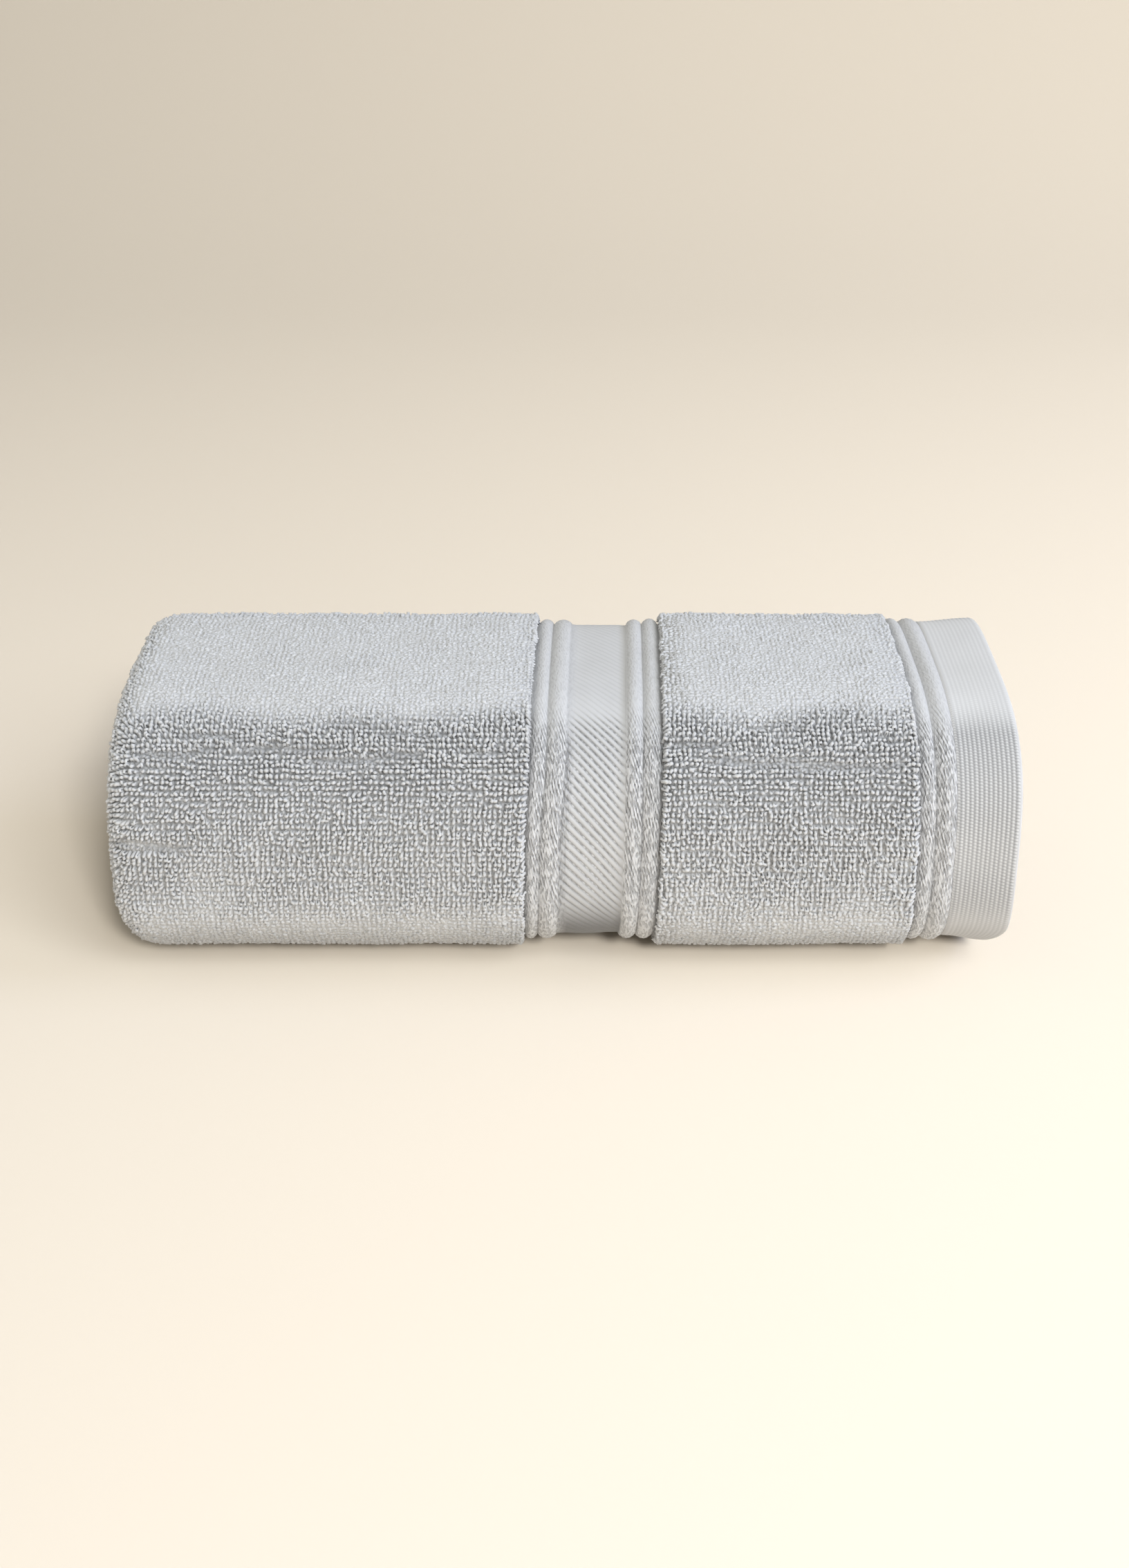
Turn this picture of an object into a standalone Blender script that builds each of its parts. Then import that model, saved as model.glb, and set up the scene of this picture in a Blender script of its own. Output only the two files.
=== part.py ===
"""A rolled bath towel, lying on its side.

The towel is one woven cloth, 0.7 m wide and 1.4 m long. It is folded twice along its length, so
that four layers lie on each other, and this stack is then rolled up twice round a flat tongue.
The solid is that stack: a thick strip which winds round the roll in the YZ plane. Its left end
(-X) is the round fold of the stack. Its right end (+X) shows the two hems and the inner fold.
On the face that shows, the pile stands proud of the woven border, its raised ribs and the hem.
Metres, +Z up, the front faces -Y. Vectors of two numbers are (y, z) points of the section.
"""

import math

import bmesh
import bpy
from mathutils import Vector

MM = 0.001

# The roll
LEFT_END = -176.2 * MM
RIGHT_END = 176.2 * MM
HALF_DEPTH = 76.5 * MM
HEIGHT_ABOVE_CENTRE = 61.0 * MM
HEIGHT_BELOW_CENTRE = 52.5 * MM
FLAT_SPOT_DEPTH = 0.9 * MM
CENTRE_Z = HEIGHT_BELOW_CENTRE - FLAT_SPOT_DEPTH

# How square each corner of the section is: 2 is an ellipse, and more is squarer
SQUARE_BACK_TOP = 4.6
SQUARE_FRONT_TOP = 2.75
SQUARE_FRONT_BOTTOM = 2.5
SQUARE_BACK_BOTTOM = 3.0
CORNER_POWERS = (SQUARE_BACK_TOP, SQUARE_FRONT_TOP, SQUARE_FRONT_BOTTOM, SQUARE_BACK_BOTTOM)

# The wound strip: five of its thicknesses fill the height, two turns and the tongue
TURNS = 2
TURN_GAP = 0.6 * MM
STRIP_PITCH = (HEIGHT_ABOVE_CENTRE + HEIGHT_BELOW_CENTRE + TURN_GAP) / (2 * TURNS + 1)
STRIP_THICKNESS = STRIP_PITCH - TURN_GAP

# The loose end of the strip comes down the back and stops just above the floor, rounded
TAIL_CLEARANCE = 0.3 * MM
TAIL_ROUNDNESS = 0.8
TAIL_ANGLES = (72, 48, 24)

# Distance between points round the section, and the fine steps that it is measured with
SECTION_STEP = 8 * MM
FINE_STEPS = 200

# The zones fade out over this many points, where the outer turn goes in behind the loose end
COVERED_STEPS = 8
FADING_STEPS = 6

# The zones of the cloth along the roll, and how far each lies below the pile.
# A rib is round: its crest lies at "sink", and its sides go down to RIB_FOOT_SINK.
RIB_FOOT_SINK = 4.2 * MM
ZONES = (
    {"name": "pile_left", "start": -161.2 * MM, "end": -13.5 * MM, "sink": 0.0},
    {"name": "rib_a", "start": -13.5 * MM, "end": -7.4 * MM, "sink": 2.4 * MM},
    {"name": "rib_b", "start": -7.4 * MM, "end": 0.3 * MM, "sink": 2.4 * MM},
    {"name": "border", "start": 0.3 * MM, "end": 23.1 * MM, "sink": 4.7 * MM},
    {"name": "rib_c", "start": 23.1 * MM, "end": 30.0 * MM, "sink": 2.4 * MM},
    {"name": "rib_d", "start": 30.0 * MM, "end": 36.9 * MM, "sink": 2.2 * MM},
    {"name": "pile_middle", "start": 36.9 * MM, "end": 137.3 * MM, "sink": 0.0},
    {"name": "rib_e", "start": 137.3 * MM, "end": 143.5 * MM, "sink": 2.3 * MM},
    {"name": "rib_f", "start": 143.5 * MM, "end": 151.7 * MM, "sink": 2.0 * MM},
    {"name": "hem", "start": 151.7 * MM, "end": 175.4 * MM, "sink": 3.8 * MM},
)
PILE_STEPS = 5
PILE_EDGE = 0.7 * MM
PILE_EDGE_SINK = 0.5 * MM
RIB_STEPS = 4
HEM_STEPS = 4
HEM_EDGE_SINK = 1.6 * MM

# The two ends, from the outer face of the strip (across 0) to its inner face (across 1).
# The left end is one round fold. The right end is the outer hem, the inner hem and a fold.
FOLD_END = (
    {"across": 0.00, "inset": 15.0 * MM},
    {"across": 0.03, "inset": 8.0 * MM},
    {"across": 0.12, "inset": 3.2 * MM},
    {"across": 0.28, "inset": 0.8 * MM},
    {"across": 0.50, "inset": 0.0 * MM},
    {"across": 0.74, "inset": 1.0 * MM},
    {"across": 0.92, "inset": 5.0 * MM},
    {"across": 1.00, "inset": 14.0 * MM},
)
HEM_END = (
    {"across": 0.00, "inset": 0.8 * MM},
    {"across": 0.06, "inset": 0.0 * MM},
    {"across": 0.14, "inset": 0.6 * MM},
    {"across": 0.17, "inset": 5.5 * MM},
    {"across": 0.21, "inset": 2.6 * MM},
    {"across": 0.31, "inset": 2.8 * MM},
    {"across": 0.35, "inset": 11.0 * MM},
    {"across": 0.46, "inset": 7.6 * MM},
    {"across": 0.66, "inset": 6.6 * MM},
    {"across": 0.88, "inset": 8.6 * MM},
    {"across": 1.00, "inset": 16.0 * MM},
)

# The ends are drawn in where the cloth turns under the roll, and at the corners of the loose end
DRAWN_IN = (
    {"end": "right", "from_z": 24 * MM, "to_z": 2 * MM, "by": 7.0 * MM, "fades_over": 22 * MM},
    {"end": "left", "from_z": 40 * MM, "to_z": 2 * MM, "by": 6.0 * MM, "fades_over": 30 * MM},
)
TAIL_CORNER = 9 * MM
TAIL_CORNER_FADES_OVER = 24 * MM

# The border drifts towards the right end as it goes up and over the roll
DRIFT_PER_METRE = 22 * MM
DRIFT_MIDDLE = 11 * MM
DRIFT_REACH_LEFT = 160 * MM
DRIFT_REACH_RIGHT = 125 * MM

# Soft hollows in the front of the pile: where, how wide along and up the roll, and how deep
HOLLOWS = (
    {"x": -150 * MM, "z": 45 * MM, "wide_x": 34 * MM, "wide_z": 9 * MM, "deep": 1.0 * MM},
    {"x": -105 * MM, "z": 88 * MM, "wide_x": 60 * MM, "wide_z": 10 * MM, "deep": 0.9 * MM},
    {"x": 88 * MM, "z": 90 * MM, "wide_x": 40 * MM, "wide_z": 10 * MM, "deep": 0.9 * MM},
    {"x": -60 * MM, "z": 24 * MM, "wide_x": 50 * MM, "wide_z": 12 * MM, "deep": 0.7 * MM},
)

COTTON_COLOUR = (0.60, 0.63, 0.64, 1.0)
COTTON_ROUGHNESS = 0.95
SHARP_ANGLE = math.radians(40)


def soft(share):
    """An even ease from 0 to 1."""
    share = min(max(share, 0.0), 1.0)
    return share * share * (3 - 2 * share)


def half_sizes(turn, quarter):
    """The half depth and half height of one quarter of a turn. The last quarter dives inwards."""
    side = HALF_DEPTH - turn * STRIP_PITCH
    above = HEIGHT_ABOVE_CENTRE - turn * STRIP_PITCH
    below = HEIGHT_BELOW_CENTRE - turn * STRIP_PITCH
    return ((side, above), (side, above), (side, below), (side - STRIP_PITCH, below))[quarter]


def corner_point(turn, quarter, share, inside=0.0):
    """A point of one quarter of a turn, share 0 to 1 of the way, and some way inside its face."""
    half_y, half_z = half_sizes(turn, quarter)
    power = 2 / CORNER_POWERS[quarter]
    angle = math.radians(90) * (quarter + share)
    across, up = math.cos(angle), math.sin(angle)
    y = math.copysign((half_y - inside) * abs(across) ** power, across)
    z = math.copysign((half_z - inside) * abs(up) ** power, up)
    return Vector((y, CENTRE_Z + z))


def even_shares(quarter):
    """The shares at which the outer face of a quarter has evenly spaced points."""
    fine = [corner_point(0, quarter, step / FINE_STEPS) for step in range(FINE_STEPS + 1)]
    travelled = [0.0]
    for a, b in zip(fine, fine[1:]):
        travelled.append(travelled[-1] + (b - a).length)
    count = round(travelled[-1] / SECTION_STEP)
    nearest = []
    for k in range(count + 1):
        wanted = travelled[-1] * k / count
        nearest.append(min(range(len(fine)), key=lambda i: abs(travelled[i] - wanted)))
    return [i / FINE_STEPS for i in nearest]


def outward_at(line, i):
    """The direction away from the roll at a point of a line that winds to the left."""
    along = (line[min(i + 1, len(line) - 1)] - line[max(i - 1, 0)]).normalized()
    return Vector((along.y, -along.x))


def tail_pairs(shares):
    """The loose end: it lies on the last quarter of the outer turn, and its tip is rounded."""
    under = [corner_point(0, 3, share) for share in shares]
    pairs = []
    for i, point in enumerate(under[:-1]):
        outward = outward_at(under, i)
        pairs.append((point + outward * STRIP_PITCH, point + outward * TURN_GAP))
    for first in range(1, len(pairs) - 2):
        tip = tip_pairs(pairs[first], pairs[first + 1])
        lowest = min(point.y for pair in tip for point in pair)
        if lowest >= TAIL_CLEARANCE:
            return tip + pairs[first:]
    return pairs


def tip_pairs(edge, beyond):
    """The rounded tip in front of the first pair of points of the loose end."""
    middle = (edge[0] + edge[1]) / 2
    half = (edge[0] - edge[1]) / 2
    forward = (middle - (beyond[0] + beyond[1]) / 2).normalized()
    tip = []
    for degrees in TAIL_ANGLES:
        angle = math.radians(degrees)
        ahead = middle + forward * half.length * TAIL_ROUNDNESS * math.sin(angle)
        tip.append((ahead + half * math.cos(angle), ahead - half * math.cos(angle)))
    return tip


def tongue_pairs(all_shares):
    """The flat middle of the roll: the tight bend into it, and its round front."""
    lower_z = CENTRE_Z - half_sizes(TURNS, 2)[1]
    crease_y = half_sizes(TURNS, 0)[0] - STRIP_THICKNESS
    below_slit = Vector((0.0, lower_z - TURN_GAP))
    crease = Vector((crease_y, lower_z - TURN_GAP / 2))
    above_slit = Vector((0.0, lower_z))
    front = corner_point(TURNS, 2, 0.25)
    pairs = []
    for share in all_shares[3][1:]:
        pairs.append((corner_point(TURNS - 1, 3, share), below_slit.lerp(crease, share)))
    for share in all_shares[0][1:]:
        pairs.append((corner_point(TURNS, 0, share), crease.lerp(above_slit, share)))
    for share in all_shares[1][1:]:
        lower = Vector((front.x * share, lower_z + (front.y - lower_z) * soft(share * 3 - 2)))
        pairs.append((corner_point(TURNS, 1, share), lower))
    return pairs


def winding():
    """The strip from its loose end to the tongue: a pair of points on its two faces each time."""
    all_shares = [even_shares(quarter) for quarter in range(4)]
    pairs = tail_pairs(all_shares[3])
    shown = len(pairs)
    for turn in range(TURNS):
        for quarter in range(4):
            if (turn, quarter) == (TURNS - 1, 3):
                break
            for share in all_shares[quarter][0 if (turn, quarter) == (0, 0) else 1 :]:
                inner = corner_point(turn, quarter, share, STRIP_THICKNESS)
                pairs.append((corner_point(turn, quarter, share), inner))
        if turn == 0:
            shown = len(pairs)
    return pairs + tongue_pairs(all_shares), shown


def stations():
    """The points of the face that shows, along the roll, and how far each lies below the pile."""
    rows = [{"x": LEFT_END + FOLD_END[0]["inset"], "sink": 0.0}]
    for zone in ZONES:
        start, end, sink = zone["start"], zone["end"], zone["sink"]
        if zone["name"].startswith("pile"):
            if rows[-1]["sink"] > 0:
                rows.append({"x": start + PILE_EDGE, "sink": PILE_EDGE_SINK})
            for step in range(1, PILE_STEPS):
                rows.append({"x": start + (end - start) * step / PILE_STEPS, "sink": sink})
            rows.append({"x": end - PILE_EDGE, "sink": PILE_EDGE_SINK})
        elif zone["name"].startswith("rib"):
            for step in range(RIB_STEPS):
                crown = math.sin(math.pi * step / RIB_STEPS)
                depth = RIB_FOOT_SINK + (sink - RIB_FOOT_SINK) * crown
                rows.append({"x": start + (end - start) * step / RIB_STEPS, "sink": depth})
        elif zone["name"] == "border":
            rows.append({"x": start, "sink": sink})
            rows.append({"x": end - PILE_EDGE, "sink": sink})
        else:
            for step in range(HEM_STEPS + 1):
                fuller = soft(step / HEM_STEPS) * (HEM_EDGE_SINK - sink)
                rows.append({"x": start + (end - start) * step / HEM_STEPS, "sink": sink + fuller})
        if zone["name"] == "rib_d":
            rows.append({"x": end, "sink": RIB_FOOT_SINK})
    return rows


def drift(x, along):
    """How far the cloth at x is carried along the roll, at a distance round it from the front."""
    reach = DRIFT_REACH_RIGHT if x > DRIFT_MIDDLE else DRIFT_REACH_LEFT
    weight = 1.0 - soft(abs(x - DRIFT_MIDDLE) / reach)
    return -weight * DRIFT_PER_METRE * along / (1000 * MM)


def drawn_in(x, point):
    """How far a point of the outer face is drawn in from the nearest end of the roll."""
    moved = 0.0
    for row in DRAWN_IN:
        if row["end"] == "right":
            near = 1.0 - (RIGHT_END - x) / row["fades_over"]
            direction = -1.0
        else:
            near = 1.0 - (x - LEFT_END) / row["fades_over"]
            direction = 1.0
        turned = (point.y - row["from_z"]) / (row["to_z"] - row["from_z"])
        moved += direction * row["by"] * soft(near) * soft(turned)
    return moved


def tail_corner(x, thinness):
    """How far the rounded tip of the loose end is drawn in at its two corners."""
    from_left = soft(1.0 - (x - LEFT_END) / TAIL_CORNER_FADES_OVER)
    from_right = soft(1.0 - (RIGHT_END - x) / TAIL_CORNER_FADES_OVER)
    return TAIL_CORNER * thinness * (from_left - from_right)


def hollow_depth(x, point):
    """The depth of the soft hollows at a point of the front."""
    depth = 0.0
    for row in HOLLOWS:
        across = (x - row["x"]) / row["wide_x"]
        up = (point.y - row["z"]) / row["wide_z"]
        depth += row["deep"] * math.exp(-across * across - up * up)
    return depth if point.x < 0 else 0.0


def strip_loop(pair, outward, rows, along, shown):
    """The points round the strip at one place of the winding, as a closed loop."""
    outer, inner = pair
    fullness = min(1.0, (outer - inner).length / STRIP_THICKNESS) if along < 0 else 1.0
    face = []
    for row in rows:
        sink = (row["sink"] + hollow_depth(row["x"], outer)) * shown * fullness
        place = outer - outward * sink
        x = row["x"] + (drift(row["x"], along) + drawn_in(row["x"], outer)) * shown
        x += tail_corner(row["x"], 1.0 - fullness)
        face.append(Vector((x, place.x, max(place.y, 0.0))))
    right, left = face[-1], face[0]
    far = Vector((0.0, inner.x, inner.y))
    ends = []
    for row in HEM_END[1:]:
        inwards = right.lerp(far, row["across"])
        ends.append(Vector((right.x + HEM_END[0]["inset"] - row["inset"], inwards.y, inwards.z)))
    for row in FOLD_END[:0:-1]:
        inwards = left.lerp(far, row["across"])
        ends.append(Vector((left.x - FOLD_END[0]["inset"] + row["inset"], inwards.y, inwards.z)))
    return face + ends


def strip_mesh(name):
    """The wound strip as one closed mesh. Only its outermost turn has the zones of the cloth."""
    pairs, shown_count = winding()
    rows = stations()
    outer_line = [outer for outer, inner in pairs]
    travelled = [0.0]
    for a, b in zip(outer_line, outer_line[1:]):
        travelled.append(travelled[-1] + (b - a).length)
    front = min(range(len(outer_line)), key=lambda i: outer_line[i].x)
    shell = bmesh.new()
    loops = []
    for i, pair in enumerate(pairs):
        shown = 1.0 - soft((i - shown_count + COVERED_STEPS) / FADING_STEPS)
        along = travelled[i] - travelled[front]
        points = strip_loop(pair, outward_at(outer_line, i), rows, along, shown)
        between = range(1, len(rows) - 1) if i >= shown_count else ()
        loops.append({j: shell.verts.new(p) for j, p in enumerate(points) if j not in between})
    for here, beyond in zip(loops, loops[1:]):
        shared = sorted(set(here) & set(beyond))
        for j, k in zip(shared, shared[1:] + shared[:1]):
            inside = range(j, k + 1) if k > j else (j, k)
            near = [here[n] for n in inside if n in here]
            far = [beyond[n] for n in inside if n in beyond]
            shell.faces.new(near + far[::-1])
    shell.faces.new(list(loops[0].values()))
    shell.faces.new(list(loops[-1].values())[::-1])
    bmesh.ops.recalc_face_normals(shell, faces=shell.faces)
    mesh = bpy.data.meshes.new(name)
    shell.to_mesh(mesh)
    shell.free()
    mesh.shade_smooth()
    mesh.set_sharp_from_angle(angle=SHARP_ANGLE)
    return mesh


def terry_cotton():
    """Pale grey looped cotton."""
    material = bpy.data.materials.new("terry_cotton")
    material.use_nodes = True
    shader = material.node_tree.nodes["Principled BSDF"]
    shader.inputs["Base Color"].default_value = COTTON_COLOUR
    shader.inputs["Roughness"].default_value = COTTON_ROUGHNESS
    shader.inputs["Metallic"].default_value = 0.0
    return material


def main():
    for old in list(bpy.data.objects):
        bpy.data.objects.remove(old)
    towel = bpy.data.objects.new("towel", strip_mesh("towel"))
    towel.data.materials.append(terry_cotton())
    bpy.context.scene.collection.objects.link(towel)


main()
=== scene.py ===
# %% [markdown]
# # A rolled bath towel
# The real thing is one woven cloth, 0.7 m wide and 1.4 m long. Most of it is terry: little loops
# of yarn that stand up from a plain ground weave. Across it run a flat twill band between raised
# cords, and each end is turned in as a hem. The towel is folded twice along its length, so that
# four layers lie on each other, and then it is rolled up.
#
# The frame holds one solid for the whole roll. This script dresses it: the cloth with its real
# layers, the loops one by one, the border, the cords and the hem.

import math

import bmesh
import bpy
import numpy as np
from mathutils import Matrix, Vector


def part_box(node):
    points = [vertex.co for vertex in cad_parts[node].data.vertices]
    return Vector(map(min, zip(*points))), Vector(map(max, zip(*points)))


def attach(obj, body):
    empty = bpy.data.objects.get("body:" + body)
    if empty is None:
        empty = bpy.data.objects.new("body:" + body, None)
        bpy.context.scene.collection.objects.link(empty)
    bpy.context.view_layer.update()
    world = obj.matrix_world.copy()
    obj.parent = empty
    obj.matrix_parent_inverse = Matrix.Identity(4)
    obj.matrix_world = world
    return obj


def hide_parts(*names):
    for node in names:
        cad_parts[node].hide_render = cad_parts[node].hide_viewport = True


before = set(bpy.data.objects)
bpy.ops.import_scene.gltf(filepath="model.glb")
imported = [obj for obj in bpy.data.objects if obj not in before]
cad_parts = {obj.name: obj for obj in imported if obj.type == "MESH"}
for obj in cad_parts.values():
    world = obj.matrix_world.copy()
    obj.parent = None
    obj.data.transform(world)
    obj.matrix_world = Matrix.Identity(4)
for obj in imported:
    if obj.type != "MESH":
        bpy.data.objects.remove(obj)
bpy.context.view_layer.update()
MM = 0.001
BODY = "root"
NODE = "towel"
low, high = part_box(NODE)
print("roll, in mm:", [round((b - a) / MM, 1) for a, b in zip(low, high)])

# %% [markdown]
# ## The camera
# The photo is taken from a little above, at 26 degrees, with a normal lens. A camera could be
# matched by eye, but the hem edge at the right end is a curve whose real shape is known, and
# fitting the view to it gave the height, the distance and the lens below.

# %% The camera
CAMERA_ELEVATION = math.radians(26.3)
CAMERA_DISTANCE = 908 * MM
CAMERA_AIM = Vector((0.6 * MM, 0.0, 55.0 * MM))
LENS_MM = 50
FRAME_LONG_SIDE_MM = 36

camera_data = bpy.data.cameras.new("camera")
camera_data.sensor_fit = "VERTICAL"
camera_data.sensor_height = FRAME_LONG_SIDE_MM
camera_data.lens = LENS_MM
camera = bpy.data.objects.new("camera", camera_data)
back_and_up = Vector((0.0, -math.cos(CAMERA_ELEVATION), math.sin(CAMERA_ELEVATION)))
camera.location = CAMERA_AIM + back_and_up * CAMERA_DISTANCE
camera.rotation_euler = (math.radians(90) - CAMERA_ELEVATION, 0.0, 0.0)
bpy.context.scene.collection.objects.link(camera)
bpy.context.scene.camera = camera
bpy.context.scene.view_settings.view_transform = "Standard"
print("camera at", [round(v, 3) for v in camera.location])

# %% [markdown]
# ## The studio
# A pale seamless sheet of paper runs over the floor and up behind, so that no edge shows. It could
# be two planes, but an edge that is extruded, spun through a quarter turn and extruded again bends
# softly, as real paper does.

# %% Floor and backdrop
PAPER = (0.42, 0.378, 0.317)
FLOOR_FRONT = -2.2
FLOOR_BACK = 3.7
BACKDROP_TOP = 3.6
BACKDROP_RADIUS = 2.7
BEND_START = FLOOR_BACK - BACKDROP_RADIUS
FLOOR_HALF_WIDTH = 3.0


def plain_material(name, colour, roughness):
    """A material of one colour, for the studio."""
    material = bpy.data.materials.new(name)
    material.use_nodes = True
    shader = material.node_tree.nodes["Principled BSDF"]
    shader.inputs["Base Color"].default_value = (*colour, 1.0)
    shader.inputs["Roughness"].default_value = roughness
    shader.inputs["Specular IOR Level"].default_value = 0.2
    return material


def link(mesh, name, material):
    """A new object for a mesh, at the origin, in that material."""
    thing = bpy.data.objects.new(name, mesh)
    thing.data.materials.append(material)
    bpy.context.scene.collection.objects.link(thing)
    return thing


def only(kind, items):
    """Those of an operator's results that are vertices or edges."""
    return [item for item in items if isinstance(item, kind)]


sweep = bmesh.new()
corners = [sweep.verts.new((side * FLOOR_HALF_WIDTH, FLOOR_FRONT, 0.0)) for side in (-1, 1)]
flat = bmesh.ops.extrude_edge_only(sweep, edges=[sweep.edges.new(corners)])
moved = only(bmesh.types.BMVert, flat["geom"])
bmesh.ops.translate(sweep, verts=moved, vec=(0, BEND_START - FLOOR_FRONT, 0))
curved = bmesh.ops.spin(
    sweep, geom=moved + only(bmesh.types.BMEdge, flat["geom"]),
    cent=(0, BEND_START, BACKDROP_RADIUS), axis=(1, 0, 0), angle=math.radians(90), steps=24,
)
last = only(bmesh.types.BMEdge, curved["geom_last"])
upright = bmesh.ops.extrude_edge_only(sweep, edges=last)
top = only(bmesh.types.BMVert, upright["geom"])
bmesh.ops.translate(sweep, verts=top, vec=(0, 0, BACKDROP_TOP - BACKDROP_RADIUS))
bmesh.ops.recalc_face_normals(sweep, faces=sweep.faces)
sweep_mesh = bpy.data.meshes.new("backdrop")
sweep.to_mesh(sweep_mesh)
sweep.free()
sweep_mesh.shade_smooth()
backdrop = link(sweep_mesh, "backdrop", plain_material("paper", PAPER, 0.9))
print("backdrop:", len(sweep_mesh.polygons), "faces")

# %% [markdown]
# ## The light
# A pale sky and three large soft lamps light the towel: a cool one from the right, the main one
# from above in front, and a weak warm one from low in front. In the photo the paper is brighter
# than these make it, and the shadow at the towel's foot is narrow. More watts would bleach the
# cotton, so a fourth lamp, far off in front, lights the paper alone, by light linking.

# %% Lights
TOWEL_MIDDLE = (0.0, 0.0, 0.05)
# Each row: name, place, the point it looks at, size, watts and tint.
LAMPS = (
    ("window", (1.8, -0.2, 1.1), TOWEL_MIDDLE, 0.8, 12, (0.6, 0.7, 1.0)),
    ("key", (0.9, -1.5, 1.5), TOWEL_MIDDLE, 1.2, 32, (0.88, 0.93, 1.0)),
    ("front", (0.3, -2.3, 0.6), TOWEL_MIDDLE, 1.2, 9, (1.0, 0.88, 0.78)),
    ("paper_light", (1.5, -5.3, 3.5), (1.5, 0.8, 0.0), 1.0, 108, (1.0, 0.975, 0.945)),
)
PAPER_BEAM = math.radians(60)
SKY_COLOUR = (1.0, 0.975, 0.895)
SKY_STRENGTH = 0.65


def soft_lamp(name, place, at, size, watts, tint):
    """A square lamp at one place that looks at another."""
    lamp = bpy.data.lights.new(name, "AREA")
    lamp.shape = "SQUARE"
    lamp.size = size
    lamp.energy = watts
    lamp.color = tint
    holder = bpy.data.objects.new(name, lamp)
    holder.location = place
    aim = Vector(at) - holder.location
    holder.rotation_euler = aim.to_track_quat("-Z", "Y").to_euler()
    bpy.context.scene.collection.objects.link(holder)
    return holder


paper_light = [soft_lamp(*row) for row in LAMPS][-1]
paper_light.data.spread = PAPER_BEAM
only_paper = bpy.data.collections.new("only_paper")
only_paper.objects.link(backdrop)
paper_light.light_linking.receiver_collection = only_paper

sky = bpy.data.worlds.new("sky")
sky.use_nodes = True
sky.node_tree.nodes["Background"].inputs["Color"].default_value = (*SKY_COLOUR, 1.0)
sky.node_tree.nodes["Background"].inputs["Strength"].default_value = SKY_STRENGTH
bpy.context.scene.world = sky
print("lamps:", [row[0] for row in LAMPS])

# %% [markdown]
# ## The winding
# Seen from its end, the roll is a thick strip, four layers of cloth, that winds inwards. Each
# quarter of a turn is part of a rounded rectangle (a superellipse), and the last quarter of each
# turn dives one strip's thickness inwards. Two lines are worked out here, the outer and the inner
# face of the strip, with matching points. Everything else is placed by three numbers: x along
# the roll, s round it from the loose end, and the depth below the outer face.

# %% The strip's two faces
CENTRE_Z = 51.6 * MM
HALF_DEPTH = high[1]
HEIGHT_ABOVE_CENTRE = high[2] - CENTRE_Z
HEIGHT_BELOW_CENTRE = 52.5 * MM
CORNER_POWERS = (4.6, 2.75, 2.5, 3.0)
TURNS = 2
TURN_GAP = 0.6 * MM
STRIP_PITCH = (HEIGHT_ABOVE_CENTRE + HEIGHT_BELOW_CENTRE + TURN_GAP) / (2 * TURNS + 1)
STRIP = STRIP_PITCH - TURN_GAP
LAYER = STRIP / 4
FINE_STEPS = 400
WINDING_STEP = 0.5 * MM


def soft(share):
    """An even ease from 0 to 1."""
    share = np.clip(share, 0.0, 1.0)
    return share * share * (3 - 2 * share)


def half_sizes(turn, quarter):
    """The half depth and half height of one quarter of a turn."""
    side = HALF_DEPTH - turn * STRIP_PITCH
    above = HEIGHT_ABOVE_CENTRE - turn * STRIP_PITCH
    below = HEIGHT_BELOW_CENTRE - turn * STRIP_PITCH
    return ((side, above), (side, above), (side, below), (side - STRIP_PITCH, below))[quarter]


def corner_line(turn, quarter, inside=0.0):
    """The points of one quarter of a turn, some way inside its outer face."""
    half_y, half_z = half_sizes(turn, quarter)
    power = 2 / CORNER_POWERS[quarter]
    angle = np.radians(90) * (quarter + np.linspace(0, 1, FINE_STEPS + 1))
    across, up = np.cos(angle), np.sin(angle)
    y = np.sign(across) * (half_y - inside) * np.abs(across) ** power
    z = np.sign(up) * (half_z - inside) * np.abs(up) ** power
    return np.stack([y, CENTRE_Z + z], axis=1)


def outward_of(line):
    """The direction away from the roll at each point of a line."""
    along = np.gradient(line, axis=0)
    along /= np.linalg.norm(along, axis=1)[:, None] + 1e-12
    return np.stack([along[:, 1], -along[:, 0]], axis=1)


def line_between(start, end):
    """Points on a straight line, as many as a quarter has."""
    share = np.linspace(0, 1, FINE_STEPS + 1)[:, None]
    return np.array(start) * (1 - share) + np.array(end) * share


under_tail = corner_line(0, 3)
tail_outer = under_tail + outward_of(under_tail) * STRIP_PITCH
tail_inner = under_tail + outward_of(under_tail) * TURN_GAP
slit_z = CENTRE_Z - half_sizes(TURNS, 2)[1]
crease_y = half_sizes(TURNS, 0)[0] - STRIP
tongue_front = -half_sizes(TURNS, 0)[0] * 0.8
outer_parts = [tail_outer] + [corner_line(0, q) for q in range(4)]
inner_parts = [tail_inner] + [corner_line(0, q, STRIP) for q in range(4)]
outer_parts += [corner_line(1, q) for q in range(4)]
inner_parts += [corner_line(1, q, STRIP) for q in range(3)]
inner_parts += [line_between((0, slit_z - TURN_GAP), (crease_y, slit_z - TURN_GAP / 2))]
outer_parts += [corner_line(2, 0), corner_line(2, 1)]
inner_parts += [
    line_between((crease_y, slit_z - TURN_GAP / 2), (0, slit_z)),
    line_between((0, slit_z), (tongue_front, slit_z)),
]
raw_outer = np.concatenate([part[:-1] for part in outer_parts])
raw_inner = np.concatenate([part[:-1] for part in inner_parts])
travelled = np.concatenate([[0], np.cumsum(np.linalg.norm(np.diff(raw_outer, axis=0), axis=1))])
print("strip:", round(STRIP / MM, 1), "mm thick,", round(travelled[-1] / MM), "mm along its outer face")

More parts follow.
